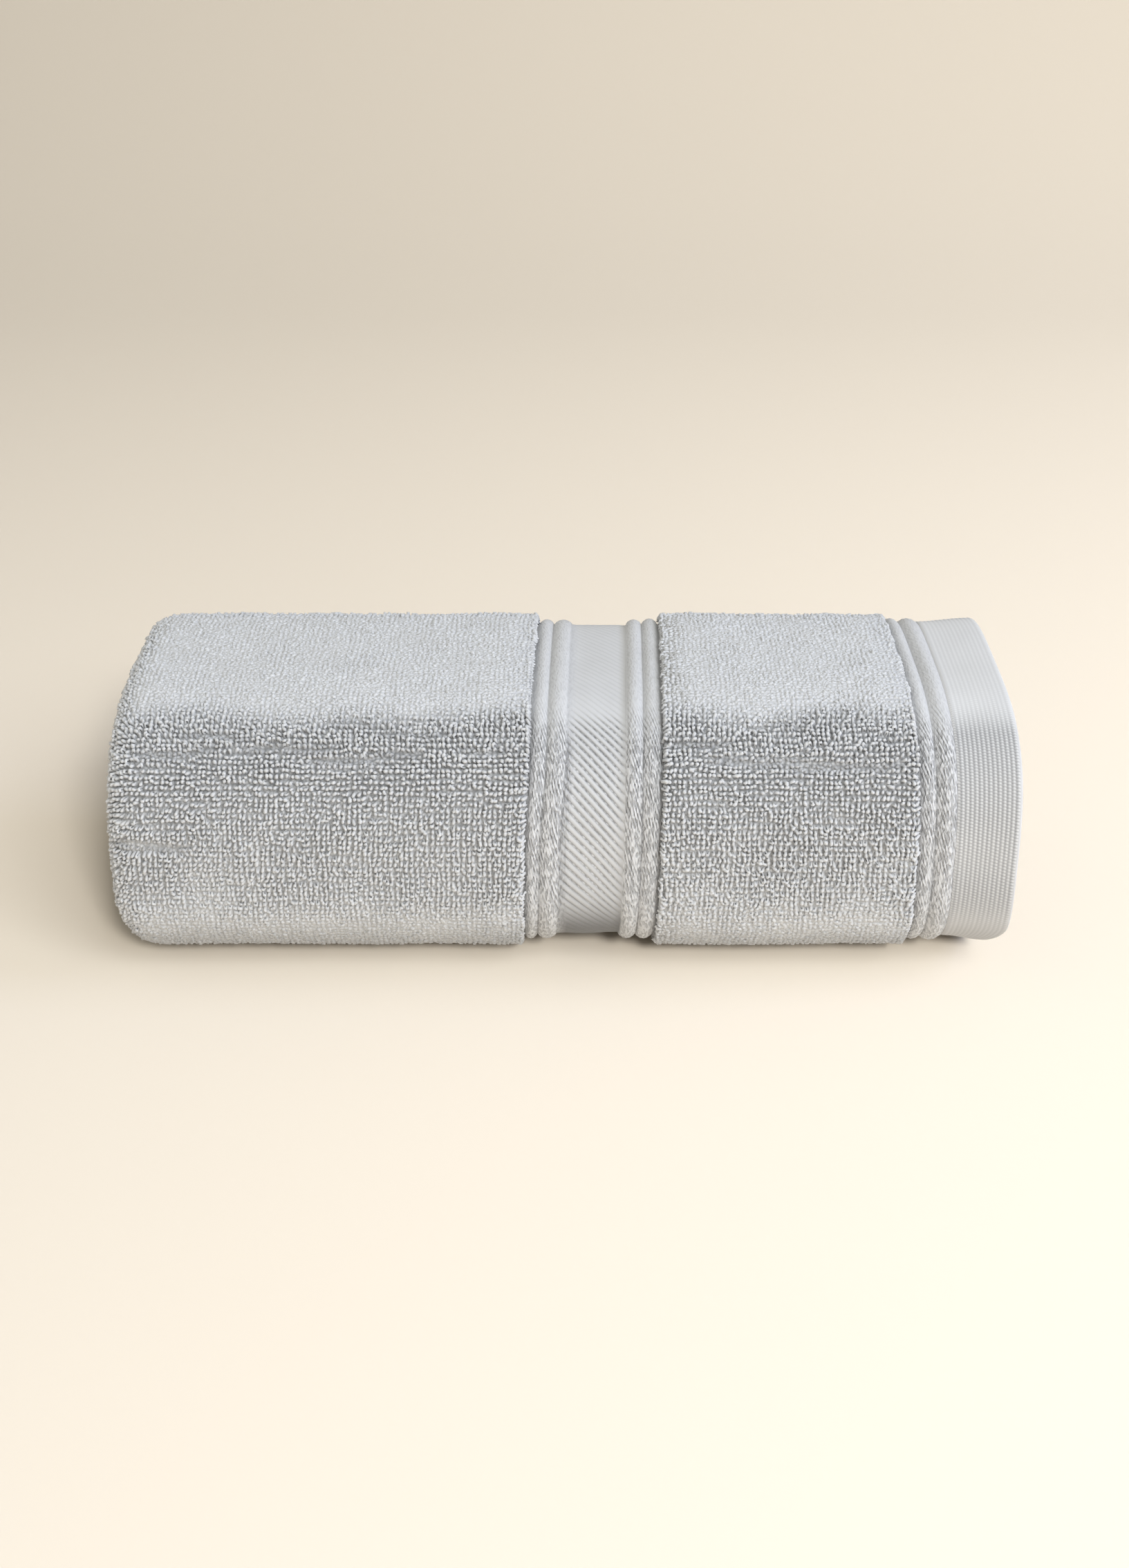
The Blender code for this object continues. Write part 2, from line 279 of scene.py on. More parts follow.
# %% The loose end, and even steps along the winding
TAIL_CLEARANCE = 0.3 * MM
TIP_LENGTH = 0.4 * STRIP
TAIL_POINTS = FINE_STEPS


def tip_lowest(i):
    """The height of the lowest point of a rounded tip in front of point i of the loose end."""
    middle = (raw_outer[i] + raw_inner[i]) / 2
    half = (raw_outer[i] - raw_inner[i]) / 2
    forward = raw_outer[i - 1] - raw_outer[i]
    forward = forward / np.linalg.norm(forward)
    angle = np.linspace(0, np.pi / 2, 12)[:, None]
    tip = middle + half * np.cos(angle) + forward * TIP_LENGTH * np.sin(angle)
    return tip[:, 1].min()


tail_start = next(i for i in range(8, TAIL_POINTS) if tip_lowest(i) >= TAIL_CLEARANCE)
raw_s = travelled - travelled[tail_start]
S = np.arange(-2.5 * TIP_LENGTH, raw_s[-1], WINDING_STEP)
OUTER = np.stack([np.interp(S, raw_s, raw_outer[:, k]) for k in (0, 1)], axis=1)
INNER = np.stack([np.interp(S, raw_s, raw_inner[:, k]) for k in (0, 1)], axis=1)
OUTWARD = outward_of(OUTER)
S_END = float(S[-1])
S_TURN_END = float(raw_s[5 * FINE_STEPS])
S_COVERED = float(raw_s[4 * FINE_STEPS + tail_start])
S_FRONT = float(S[np.argmin(OUTER[:, 0])])


def along(values, s):
    """Reads a line's points at distances s round the winding."""
    return np.stack([np.interp(s, S, values[:, k]) for k in (0, 1)], axis=-1)


print("winding from the loose end, in mm:", [round(v / MM) for v in (S_COVERED, S_TURN_END, S_END)])

# %% [markdown]
# ## The lie of the cloth
# No towel lies quite true. The border drifts towards the right as it goes up and over, it bows a
# little in front, and both ends are drawn in where the cloth turns under. These are written as
# smooth functions of the place, so that the cloth, the loops and the hem follow the same lie.

# %% Drift along the roll
LEFT_END, RIGHT_END = low[0], high[0]
FOLD_REACH = 15.0 * MM
HEM_LIP = 0.8 * MM
HIDDEN_TURNS = {"before": 64 * MM, "over": 48 * MM}
DRIFT_PER_METRE = 0.022
DRIFT_MIDDLE = 11 * MM
DRIFT_REACH = {"left": 160 * MM, "right": 125 * MM}
# Each row: the end, the way inwards, how far it is drawn in, below what height, and over what length.
ENDS_DRAWN_IN = (
    (RIGHT_END, -1.0, 7.0 * MM, 24 * MM, 22 * MM),
    (LEFT_END, 1.0, 6.0 * MM, 40 * MM, 30 * MM),
)
DRAWN_IN_FULLY_AT = 2 * MM
TAIL_CORNER = {"by": 9.0 * MM, "over": 24 * MM}
BOW = {"by": 2.0 * MM, "x": -4 * MM, "wide": 12 * MM, "below_z": 100 * MM, "over_z": 36 * MM}
BOW_STARTS = S_FRONT - 80 * MM
BOW_FADES_OVER = 60 * MM


def waves(x, s, wide_x, wide_s, seed, count=7):
    """Smooth uneven waves over the cloth, from about -1 to 1, of that size along and round it."""
    draw = np.random.default_rng(seed)
    total = np.zeros(np.broadcast(x, s).shape)
    for _ in range(count):
        turn, phase, size = draw.uniform(0, 2 * np.pi, 2).tolist() + [draw.uniform(0.7, 1.5)]
        total += np.sin((np.cos(turn) * x / wide_x + np.sin(turn) * s / wide_s) * size + phase)
    return total / math.sqrt(count)


def height_at(s):
    """The height of the roll's outer face at s."""
    return np.interp(s, S, OUTER[:, 1])


def shown(s):
    """1 on the turn that shows, fading to 0 where it goes in behind the loose end."""
    return 1.0 - soft((s - (S_TURN_END - HIDDEN_TURNS["before"])) / HIDDEN_TURNS["over"])


def bow_at(x, s):
    """How far the border bows in front, below the shoulder."""
    near = np.exp(-(((x - BOW["x"]) / BOW["wide"]) ** 2))
    in_front = soft((BOW["below_z"] - height_at(s)) / BOW["over_z"])
    in_front = in_front * soft((S_COVERED - s) / BOW_FADES_OVER + 1)
    return np.where(s > BOW_STARTS, -BOW["by"] * near * in_front, 0.0)


def sideways(x, s):
    """How far the cloth is carried along the roll."""
    x = np.clip(x, LEFT_END + FOLD_REACH, RIGHT_END - HEM_LIP)
    reach = np.where(x > DRIFT_MIDDLE, DRIFT_REACH["right"], DRIFT_REACH["left"])
    drift = -(1.0 - soft(np.abs(x - DRIFT_MIDDLE) / reach)) * DRIFT_PER_METRE * (s - S_FRONT)
    for end, way, by, below, over in ENDS_DRAWN_IN:
        turned = soft((height_at(s) - below) / (DRAWN_IN_FULLY_AT - below))
        drift = drift + way * by * soft(1.0 - np.abs(end - x) / over) * turned
    thin = 1.0 - np.sqrt(np.clip(1.0 - (np.minimum(s, 0.0) / TIP_LENGTH) ** 2, 0.0, 1.0))
    corner = soft(1.0 - (x - LEFT_END) / TAIL_CORNER["over"])
    corner = corner - soft(1.0 - (RIGHT_END - x) / TAIL_CORNER["over"])
    return (drift + bow_at(x, s)) * shown(s) + TAIL_CORNER["by"] * thin * corner


print("drift over the top, in mm:", round(float(sideways(0.0, 0.0) - sideways(0.0, S_FRONT)) / MM, 1))

# %% [markdown]
# ## Hollows and swellings
# The pile sinks where the cloth bends, and swells a little elsewhere. A sculptor would push it in
# by hand. Here each hollow is a smooth dip at a place read from the photo, wide along the roll and
# narrow round it, and the swellings are slow uneven waves.

# %% Hollows and swellings
# Each row, in mm: x and height of the middle, width along the roll and upwards, and depth.
HOLLOWS_IN_MM = (
    (-150, 45, 34, 9, 1.0),
    (-105, 88, 60, 10, 0.9),
    (88, 90, 40, 10, 0.9),
    (-60, 24, 50, 12, 0.7),
    (-160, 66, 16, 2.2, 1.3),
    (-128, 98, 26, 2.0, 1.0),
    (-86, 96, 30, 1.8, 0.8),
    (100, 95, 24, 2.0, 1.0),
    (66, 100, 18, 2.0, 0.7),
)
SWELLING = 0.35 * MM


def sunk(x, s):
    """How far the outer face lies below the even section: hollows, and soft swellings."""
    place = along(OUTER, s)
    deep = np.zeros(np.broadcast(x, s).shape)
    for at_x, at_z, wide_x, wide_z, most in np.array(HOLLOWS_IN_MM) * MM:
        away = ((x - at_x) / wide_x) ** 2 + ((place[..., 1] - at_z) / wide_z) ** 2
        deep = deep + most * np.exp(-away)
    deep = np.where(place[..., 0] < 0, deep, 0.0)
    return (deep + SWELLING * (0.5 + 0.5 * waves(x, s, 16 * MM, 14 * MM, 3))) * shown(s)


print("hollows:", len(HOLLOWS_IN_MM))

# %% [markdown]
# ## Pressed pile, open pile and creases
# On top and low down the loops lie pressed together, so the pile looks calm, and less painted shade falls at
# their roots. Over the shoulder painted shade darkens the loops and the ground between them, and so it does
# where the cloth turns under. A few creases part the loops, and painted shade darkens them too. A painted
# mask could say where, but how far the cloth faces up says it too, and it holds for every side of the roll.

# %% Pressed and open pile
ZONE_WAVES = 0.06
# Each pair: how far up, or down, the cloth faces where the change starts, and the range it takes.
PRESSED_ON_TOP = (0.895, 0.085)
PRESSED_BELOW = (-0.26, 0.86)
SHOULDER = (0.3, 0.4)
LOW_DOWN = (0.3, 0.5)
SHOULDER_ENDS = 0.11
END_FACE_REACH = 11 * MM
SHADED_BELOW = 75 * MM


def eased(value, start, over):
    """An even ease from 0, where a value reaches the start, to 1, that far past it."""
    return soft((value - start) / over)


def facing_up_at(x, s):
    """How far the cloth faces up, from -1 to 1, waved a little so that no zone's edge is straight."""
    facing_up = np.interp(s, S, OUTWARD[:, 1])
    steep = np.sqrt(np.clip(1.0 - facing_up**2, 0.0, 1.0))
    return facing_up + ZONE_WAVES * steep * waves(x, s, 13 * MM, 9 * MM, 7)


def calmness(x, s):
    """1 where the pile lies pressed, on top of the roll and low down, and 0 in front and at its end."""
    facing_up = facing_up_at(x, s)
    pressed = eased(facing_up, *PRESSED_ON_TOP) + eased(-facing_up, *PRESSED_BELOW)
    return pressed * eased(x, LEFT_END, END_FACE_REACH)


def shoulder_of(x, s):
    """1 where the cloth bends over to the front, where its loops are a little thicker and painted shade
    darkens them and the ground.
    """
    facing_up = facing_up_at(x, s)
    return eased(facing_up, *SHOULDER) * soft((1.0 - facing_up) / SHOULDER_ENDS)


def low_down(x, s):
    """1 where the cloth has turned under, and 0 where it faces forward or up."""
    return eased(-facing_up_at(x, s), *LOW_DOWN)


def near_floor(s):
    """1 at the floor and 0 well up the roll, for the shade that gathers low down."""
    return soft((SHADED_BELOW - height_at(s)) / SHADED_BELOW)


print("calm on top and in front:", [round(float(calmness(0.0, s)), 2) for s in (S_FRONT / 2, S_FRONT)])

# %% Creases
# Each row: first and last x and the height, in mm, then the slope and how far open it is.
CREASES = (
    (-176, -142, 66.0, -0.04, 1.5),
    (-168, -130, 97.5, 0.06, 1.0),
    (-150, -118, 103.5, -0.05, 1.0),
    (-128, -86, 99.5, 0.02, 1.2),
    (-100, -52, 96.0, 0.05, 1.0),
    (-76, -40, 103.0, 0.02, 0.8),
    (-95, -68, 106.0, -0.04, 0.7),
    (-44, -18, 99.5, -0.04, 0.7),
    (38, 66, 101.5, -0.03, 1.1),
    (52, 104, 97.0, -0.03, 1.2),
    (84, 134, 94.0, 0.03, 1.1),
    (70, 98, 104.5, 0.03, 0.7),
)
CREASE_REACH = 2.4 * MM
CREASE_PUSH = 0.5 * MM
# Width of a crease's middle, where the loops are shorter and get painted shade.
CREASE_DIP_AND_SHADE_WIDTH = 1.5 * MM
CREASE_ENDS = 6 * MM
CREASE_WAVE = 0.5 * MM
CREASE_WAVE_WIDTH = 5 * MM


def crease_at(x, s):
    """How far each loop is pushed along the winding by creases, and how deep in one it is."""
    place = along(OUTER, s)
    rate = np.maximum(-along(OUTWARD, s)[..., 0], 0.25)
    push, deep = np.zeros(len(x)), np.zeros(len(x))
    for first, last, height, slope, opening in CREASES:
        start, end = first * MM, last * MM
        within = soft((x - start) / CREASE_ENDS) * soft((end - x) / CREASE_ENDS) * (place[..., 0] < 0)
        wave = CREASE_WAVE * np.sin(x / CREASE_WAVE_WIDTH + height)
        gap = (height * MM + slope * (x - start) + wave - place[..., 1]) / rate
        near = np.exp(-np.abs(gap) / CREASE_REACH) * within * opening
        push = push + np.sign(gap) * near * CREASE_PUSH
        deep = np.maximum(deep, np.exp(-((gap / CREASE_DIP_AND_SHADE_WIDTH) ** 2)) * within * opening)
    return push, np.minimum(deep, 1.0)


print("creases:", len(CREASES))

# %% [markdown]
# ## From the cloth to the roll
# Every piece below is laid out flat first, by x, s and depth, and one function then carries it to
# its place in the roll. Blender's Curve modifier could bend it, but it knows nothing of the
# narrowing turns inside, and the pieces wouldn't share one lie.

# %% Laying the cloth in the roll
FLOOR_GAP = 0.15 * MM
TURNS_INWARDS = (0.15, 0.2)


def lay(x, s, depth):
    """Places in the roll: x along it, s round it, depth below the outer face of the strip."""
    x, s, depth = np.broadcast_arrays(x, s, depth)
    outer, inner, outward = along(OUTER, s), along(INNER, s), along(OUTWARD, s)
    share = depth / STRIP
    inwards = eased(share, *TURNS_INWARDS)[..., None]
    near = outer - outward * depth[..., None]
    far = outer + (inner - outer) * share[..., None]
    fade = np.clip(1.0 - share, 0.0, 1.0)
    yz = near * (1 - inwards) + far * inwards - outward * (sunk(x, s) * fade)[..., None]
    z = np.maximum(yz[..., 1], FLOOR_GAP)
    return np.stack([x + sideways(x, s), yz[..., 0], z], axis=-1)


print("front of the roll, in mm:", [round(float(v) / MM, 1) for v in lay(0.0, S_FRONT, 0.0)])

# %% [markdown]
# ## The zones of the cloth
# From the folded end to the hem come terry, two cords, the twill band, two cords, terry, two
# cords and the hem. The sink is how far each lies below the tips of the loops.

# %% The zones of the cloth
# Each row: the zone, its right end and its sink. It starts where the one before it ends.
ZONE_ENDS = (
    ("pile_left", -13.5 * MM, 0.0),
    ("cord_a", -7.4 * MM, 2.4 * MM),
    ("cord_b", 0.3 * MM, 2.4 * MM),
    ("band", 23.1 * MM, 4.6 * MM),
    ("cord_c", 30.0 * MM, 2.4 * MM),
    ("cord_d", 36.9 * MM, 2.2 * MM),
    ("pile_middle", 137.3 * MM, 0.0),
    ("cord_e", 143.5 * MM, 2.3 * MM),
    ("cord_f", 151.7 * MM, 2.0 * MM),
    ("hem", RIGHT_END, 3.8 * MM),
)
ZONES, zone_start = {}, LEFT_END + FOLD_REACH
for zone_name, zone_end, zone_sink in ZONE_ENDS:
    ZONES[zone_name] = {"start": zone_start, "end": zone_end, "sink": zone_sink}
    zone_start = zone_end
CORD_FOOT = 4.5 * MM
HEM_EDGE_SINK = 1.6 * MM
GROUND = 2.5 * MM
UNDER_WEAVE = 5.15 * MM
WOVEN_FROM = -TIP_LENGTH * 0.7
WOVEN_TO = S_COVERED + 20 * MM
print("zones:", ", ".join(ZONES))

# %% [markdown]
# ## The cloth itself
# The folded and wound cloth could be simulated, but four layers wound twice would take minutes to settle and
# drift apart. Its path is known, so it is laid as given: the cut outline of the folded stack, as one closed
# line in x and depth, is carried round the winding. The line starts at the hem that shows, goes left, round
# the outer fold, back along the innermost layer, round the inner fold at the right, and so on to the other
# hem and back along the cloth's other face.

# %% The outline of the folded stack
LAYER_GAP = 0.12 * MM
FOLD_POWER = 2.5
FOLD_STEPS = 22
HEM_INSIDE = 3.5 * MM
HEM_WALL = 1.3 * MM
INNER_HEM_BACK = 2.6 * MM
INNER_FOLD_BACK = 6.6 * MM
INNER_FOLD_REACH = 9 * MM
STRAIGHT_STOPS = 16 * MM
PILE_WALL = 0.9 * MM


def half_round(tip, reach, start, end, steps, way):
    """A rounded fold in x and depth, from one depth to another. way is -1 at the left end."""
    angle = np.linspace(-90, 90, steps + 1) * np.pi / 180
    power = 2 / FOLD_POWER
    middle, half = (start + end) / 2, (end - start) / 2
    depth = middle + half * np.sign(angle) * np.abs(np.sin(angle)) ** power
    x = tip - way * reach * (1 - np.cos(angle).clip(0) ** power)
    return np.stack([x, depth], axis=1)


def level(start, end, depth, points):
    """A flat stretch of a layer in x and depth."""
    return np.stack([np.linspace(start, end, points), np.full(points, depth)], axis=1)


def straight(start, end, depth, steps):
    """A flat stretch without its last point."""
    return level(start, end, depth, steps + 1)[:-1]


def shown_face():
    """The outer face of the outermost layer, from the hem to the fold: the ground of the pile."""
    middle, left = ZONES["pile_middle"], ZONES["pile_left"]
    wall, inner = PILE_WALL, 1.5 * PILE_WALL
    return np.concatenate([
        [(RIGHT_END - HEM_INSIDE, HEM_EDGE_SINK + HEM_WALL), (ZONES["hem"]["start"], UNDER_WEAVE)],
        [(middle["end"] - wall, UNDER_WEAVE)],
        level(middle["end"] - inner, middle["start"] + inner, GROUND, 9),
        level(middle["start"] + wall, left["end"] - wall, UNDER_WEAVE, 7),
        level(left["end"] - inner, LEFT_END + FOLD_REACH + 2 * MM, GROUND, 12),
    ])


def stack_outline():
    """The closed line round the cloth's cut edge, as x and depth."""
    gap, left = LAYER_GAP, LEFT_END
    hem_2, fold_2 = RIGHT_END - INNER_HEM_BACK, RIGHT_END - INNER_FOLD_BACK
    left_stop, right_stop = left + STRAIGHT_STOPS, fold_2 - STRAIGHT_STOPS
    parts = [
        shown_face(),
        half_round(left + GROUND, FOLD_REACH - GROUND, GROUND, STRIP - GROUND, FOLD_STEPS, -1),
        straight(left + FOLD_REACH + 6 * MM, right_stop, STRIP - gap, 8),
        half_round(fold_2 - GROUND, 8 * MM, STRIP - 0.8 * GROUND, 2 * LAYER + 0.8 * GROUND, 14, 1),
        straight(right_stop, left + 15 * MM, 2 * LAYER + gap, 8),
        straight(left + 13 * MM, hem_2 - 1.5 * MM, 2 * LAYER - gap, 9),
        half_round(hem_2, 1.5 * MM, 2 * LAYER - 1.4 * MM, LAYER + 1.4 * MM, 6, 1),
        straight(hem_2 - 12 * MM, left_stop, LAYER + gap, 8),
        half_round(left + LAYER + 0.5 * MM, 7 * MM, LAYER + gap, 3 * LAYER - gap, 12, -1),
        straight(left_stop, fold_2 - LAYER - 4 * MM, 3 * LAYER - gap, 8),
        straight(fold_2 - LAYER - 5 * MM, left + 18 * MM, 3 * LAYER + gap, 8),
        half_round(left + LAYER, 9 * MM, 3 * LAYER + gap, LAYER - gap, 14, -1),
        straight(left + 18 * MM, RIGHT_END - HEM_INSIDE, LAYER - gap, 18),
        np.array([(RIGHT_END - HEM_INSIDE, LAYER - gap)]),
    ]
    return np.concatenate(parts)


OUTLINE = stack_outline()
OUTER_FOLD_ENDS = len(shown_face()) + FOLD_STEPS + 1
print("outline of the stack:", len(OUTLINE), "points")

# %% [markdown]
# ## Grids that wrap
# The cloth, the border and the hem are each one grid of points. Blender makes the flat grid, code moves its
# points, and where the ends meet they are welded. Two attributes go with the points and colour the cotton.
# One is the tone, which varies at random from loop to loop, and on the woven band and cords also paints
# light on top of the roll and shade under the band. The other, tip, is painted shade: it darkens the roots
# of the loops, the ground between them and the grooves of the weaves, and more where the cloth turns under,
# over the shoulder, in creases and near the floor.

# %% Helpers for grids
WELD = 0.02 * MM


def flat_grid(columns, rows):
    """A grid made by Blender, with each point's column and row number."""
    grid = bmesh.new()
    bmesh.ops.create_grid(grid, x_segments=columns - 1, y_segments=rows - 1, size=1.0)
    mesh = bpy.data.meshes.new("grid")
    grid.to_mesh(mesh)
    grid.free()
    places = np.empty(len(mesh.vertices) * 3)
    mesh.vertices.foreach_get("co", places)
    places = places.reshape(-1, 3)
    column = np.rint((places[:, 0] + 1) / 2 * (columns - 1)).astype(int)
    row = np.rint((places[:, 1] + 1) / 2 * (rows - 1)).astype(int)
    return mesh, column, row


def colour_points(mesh, **colours):
    """Gives each point of a mesh a value in each named attribute."""
    for name, values in colours.items():
        layer = mesh.attributes.new(name, "FLOAT", "POINT")
        layer.data.foreach_set("value", np.broadcast_to(values, len(mesh.vertices)).astype(float))


def finish_mesh(mesh, name, places, close_ends=False):
    """Puts a grid's points in place, welds what meets, and makes its faces look outwards."""
    mesh.vertices.foreach_set("co", places.ravel())
    mesh.name = name
    work = bmesh.new()
    work.from_mesh(mesh)
    bmesh.ops.remove_doubles(work, verts=work.verts, dist=WELD)
    bmesh.ops.dissolve_degenerate(work, edges=work.edges, dist=WELD / 2)
    if close_ends:
        bmesh.ops.holes_fill(work, edges=[e for e in work.edges if e.is_boundary])
        bmesh.ops.recalc_face_normals(work, faces=work.faces)
    work.to_mesh(mesh)
    work.free()
    mesh.shade_smooth()
    print(f"{name}: {sum(len(p.vertices) - 2 for p in mesh.polygons)} triangles")
    return mesh


print("points of a grid weld within", round(WELD / MM, 2), "mm")

# %% Carry the outline round the winding
CLOTH_STEP = 5.5 * MM
CUT_WAVE = 0.6 * MM
FILLED_BY = 1.95 * MM


def ground_of_pile():
    """The points of the outline that lie under loops, and the way out of the cloth at each point."""
    in_pile = np.abs(OUTLINE[:, 1] - GROUND) < 0.01 * MM
    in_pile |= (OUTLINE[:, 0] < LEFT_END + FOLD_REACH) & (np.arange(len(OUTLINE)) < OUTER_FOLD_ENDS)
    ahead = np.roll(OUTLINE, -1, axis=0) - np.roll(OUTLINE, 1, axis=0)
    away = np.stack([-ahead[:, 1], ahead[:, 0]], axis=1) / np.linalg.norm(ahead, axis=1)[:, None]
    return in_pile, away


def wound_cloth():
    """The cloth: its outline at many stations round the winding, filled up where the pile is calm."""
    stations = np.linspace(0, 1, round((S_END + TIP_LENGTH) / CLOTH_STEP))
    mesh, column, row = flat_grid(len(OUTLINE) + 1, len(stations))
    column = column % len(OUTLINE)
    x, depth = OUTLINE[column].T
    round_tip = np.clip(1.0 - (2 * depth / STRIP - 1) ** 2, 0.0, 1.0) ** 0.5
    start_s = -TIP_LENGTH * round_tip + CUT_WAVE * np.sin(depth / LAYER * 2.1)
    s = start_s + (S_END - start_s) * stations[row]
    in_pile, away = ground_of_pile()
    calm = calmness(x, s)
    filled = calm * FILLED_BY * in_pile[column]
    # tip here is painted shade on the ground between the loops: darker where the cloth turns under and over
    # the shoulder, lighter where the pile is pressed and the ground lies near the top.
    tip = 0.3 - 0.7 * low_down(x, s) + 0.7 * calm - 0.3 * shoulder_of(x, s)
    colour_points(mesh, tone=0.5, tip=tip)
    places = lay(x + away[column, 0] * filled, s, depth + away[column, 1] * filled)
    return finish_mesh(mesh, "towel_cloth", places, close_ends=True)


cloth_mesh = wound_cloth()

# %% [markdown]
# ## One loop of yarn
# A terry loop is a thick soft yarn that comes up out of the ground weave, turns over and goes
# back in. The pile could be a bump in the material, but its loops show one by one, so each is
# a small arch: a ring of four points, spun through half a turn, with few faces because there are
# tens of thousands of them.

# %% One loop of yarn
YARN_RADIUS = 0.62 * MM
LOOP_SPAN = 0.56 * MM
LOOP_HEIGHT = 2.15 * MM
LOOP_BULGE = 1.3
YARN_SIDES = 4
LOOP_STEPS = 3

yarn = bmesh.new()
ring = bmesh.ops.create_circle(yarn, segments=YARN_SIDES, radius=YARN_RADIUS)
bmesh.ops.translate(yarn, verts=ring["verts"], vec=(LOOP_SPAN, 0, 0))
bmesh.ops.spin(
    yarn, geom=yarn.verts[:] + yarn.edges[:], cent=(0, 0, 0), axis=(0, 1, 0),
    angle=-math.pi, steps=LOOP_STEPS,
)
bmesh.ops.recalc_face_normals(yarn, faces=yarn.faces)
yarn.verts.index_update()
LOOP_POINTS = np.array([v.co[:] for v in yarn.verts])
LOOP_FACES = np.array([[v.index for v in face.verts] for face in yarn.faces])
top_face = max(yarn.faces, key=lambda face: face.calc_center_median().z)
if top_face.normal.z < 0:
    LOOP_FACES = LOOP_FACES[:, ::-1]
yarn.free()
RING_NUMBER = np.arange(len(LOOP_POINTS)) // YARN_SIDES
RING_MIDDLES = np.array([LOOP_POINTS[RING_NUMBER == k].mean(axis=0) for k in range(LOOP_STEPS + 1)])
LOOP_OFFSETS = LOOP_POINTS - RING_MIDDLES[RING_NUMBER]
RISE = np.clip(RING_MIDDLES[:, 2] / RING_MIDDLES[:, 2].max(), 0, 1)
RING_MIDDLES[1:-1, 0] *= LOOP_BULGE
print("loop:", len(LOOP_POINTS), "points,", len(LOOP_FACES), "faces")

# %% [markdown]
# ## Where the loops stand
# On the loom the loops stand in rows and columns, and in use they stray a little. Scattering them
# at random would lose the rows, so they start on a grid over the flat cloth. A profile says how
# that grid runs across the cloth: straight over the terry, and round the fold at the left end.

# %% Profiles that carry loops
DIRECTION_STEP = 0.5 * MM
INNER_FOLD_INSET = 0.2 * MM


def profile_of(*parts):
    """A line through points of x and depth, with the distances of its points along it."""
    points = np.concatenate(parts)
    steps = np.linalg.norm(np.diff(points, axis=0), axis=1)
    return np.concatenate([[0], np.cumsum(steps)]), points


def read_profile(profile, w):
    """The x and depth, and the direction, of a profile at distances w along it."""
    distance, points = profile
    behind, place, ahead = (
        np.stack([np.interp(w + shift, distance, points[:, k]) for k in (0, 1)], axis=-1)
        for shift in (-DIRECTION_STEP, 0.0, DIRECTION_STEP)
    )
    direction = ahead - behind
    return place, direction / (np.linalg.norm(direction, axis=-1)[..., None] + 1e-12)


# From the border leftwards and round the outer fold
outer_fold = half_round(LEFT_END, FOLD_REACH, 0.0, STRIP, 60, -1)
PILE_LEFT = profile_of([(ZONES["pile_left"]["end"], 0.0)], outer_fold)
# Between the border and the cords beside the hem
PILE_MIDDLE = profile_of([(ZONES["pile_middle"][side], 0.0) for side in ("end", "start")])
# The inner fold, which shows between the turns at the right end
INNER_FOLD = profile_of(half_round(
    RIGHT_END - INNER_FOLD_BACK, INNER_FOLD_REACH,
    STRIP - INNER_FOLD_INSET, 2 * LAYER + INNER_FOLD_INSET, 40, 1,
))
print("profiles, in mm:", [round(float(p[0][-1]) / MM) for p in (PILE_LEFT, PILE_MIDDLE, INNER_FOLD)])

# %% Rows and columns of loops
COLUMN_PITCH = 1.98 * MM
ROW_PITCH = 2.25 * MM
ASTRAY = 0.13 * MM
STRAY_WAVES = 0.25 * MM
CROWD_WAVES = 0.40 * MM
FIELD_MARGIN = 0.3 * MM
LEAST_ROOM = 0.9 * MM
ROUND_THE_FOLD = 4 * MM


def loop_spots(draw, field):
    """Where the loops of a field stand, as arrays, without those that the floor leaves no room for."""
    (w_from, w_to), (s_from, s_to) = field["w"], field["s"]
    columns = max(1, round((w_to - w_from) / COLUMN_PITCH))
    rows = max(1, round((s_to - s_from) / ROW_PITCH))
    w, s = np.meshgrid(
        w_from + (np.arange(columns) + 0.5) * (w_to - w_from) / columns,
        s_from + (np.arange(rows) + 0.5) * (s_to - s_from) / rows,
    )
    w, s = w.ravel(), s.ravel()
    over_edge = np.zeros(w.shape)
    for edge_w, way in field["edges"]:
        over_edge += way * np.clip(1.5 - np.abs(w - edge_w) / COLUMN_PITCH, 0, 1)
    crowd = waves(w, s, 5.5 * MM, 1.6 * MM, field["seed"] + 1)
    stray = waves(w, s, 7 * MM, 3 * MM, field["seed"] + 2)
    w = w + draw.normal(0, ASTRAY, w.shape) + STRAY_WAVES * stray
    s = s + draw.normal(0, ASTRAY, w.shape) + CROWD_WAVES * crowd
    w = np.clip(w, w_from + FIELD_MARGIN, w_to - FIELD_MARGIN)
    place, direction = read_profile(field["profile"], w)
    x, depth = place.T
    push, creased = crease_at(x, s)
    s = s + push
    keep = (lay(x, s, 0.0)[:, 2] > LEAST_ROOM) | (depth > ROUND_THE_FOLD)
    arrays = {"w": w, "s": s, "x": x, "depth": depth, "direction": direction}
    arrays.update(over_edge=over_edge, creased=creased)
    return {name: values[keep] for name, values in arrays.items()}


def loop_axes(spots):
    """At each loop, the directions across the cloth, along the winding and out of the cloth."""
    turned = along(OUTWARD, spots["s"])
    zero = np.zeros(len(turned))
    along_roll = np.array([1.0, 0.0, 0.0])
    outward = np.stack([zero, turned[:, 0], turned[:, 1]], axis=1)
    winding = np.stack([zero, -turned[:, 1], turned[:, 0]], axis=1)
    ahead, deeper = spots["direction"][:, :1], spots["direction"][:, 1:]
    return ahead * along_roll - deeper * outward, winding, -deeper * along_roll - ahead * outward


# %% [markdown]
# ## A field of loops
# Each loop gets its own height, width, turn and lean, because the yarn is soft, and it hangs a
# little where the cloth is steep. A particle system could scatter copies, but it knows nothing of
# creases or edges. So arrays work out all the copies of the arch at once, and they make one mesh.

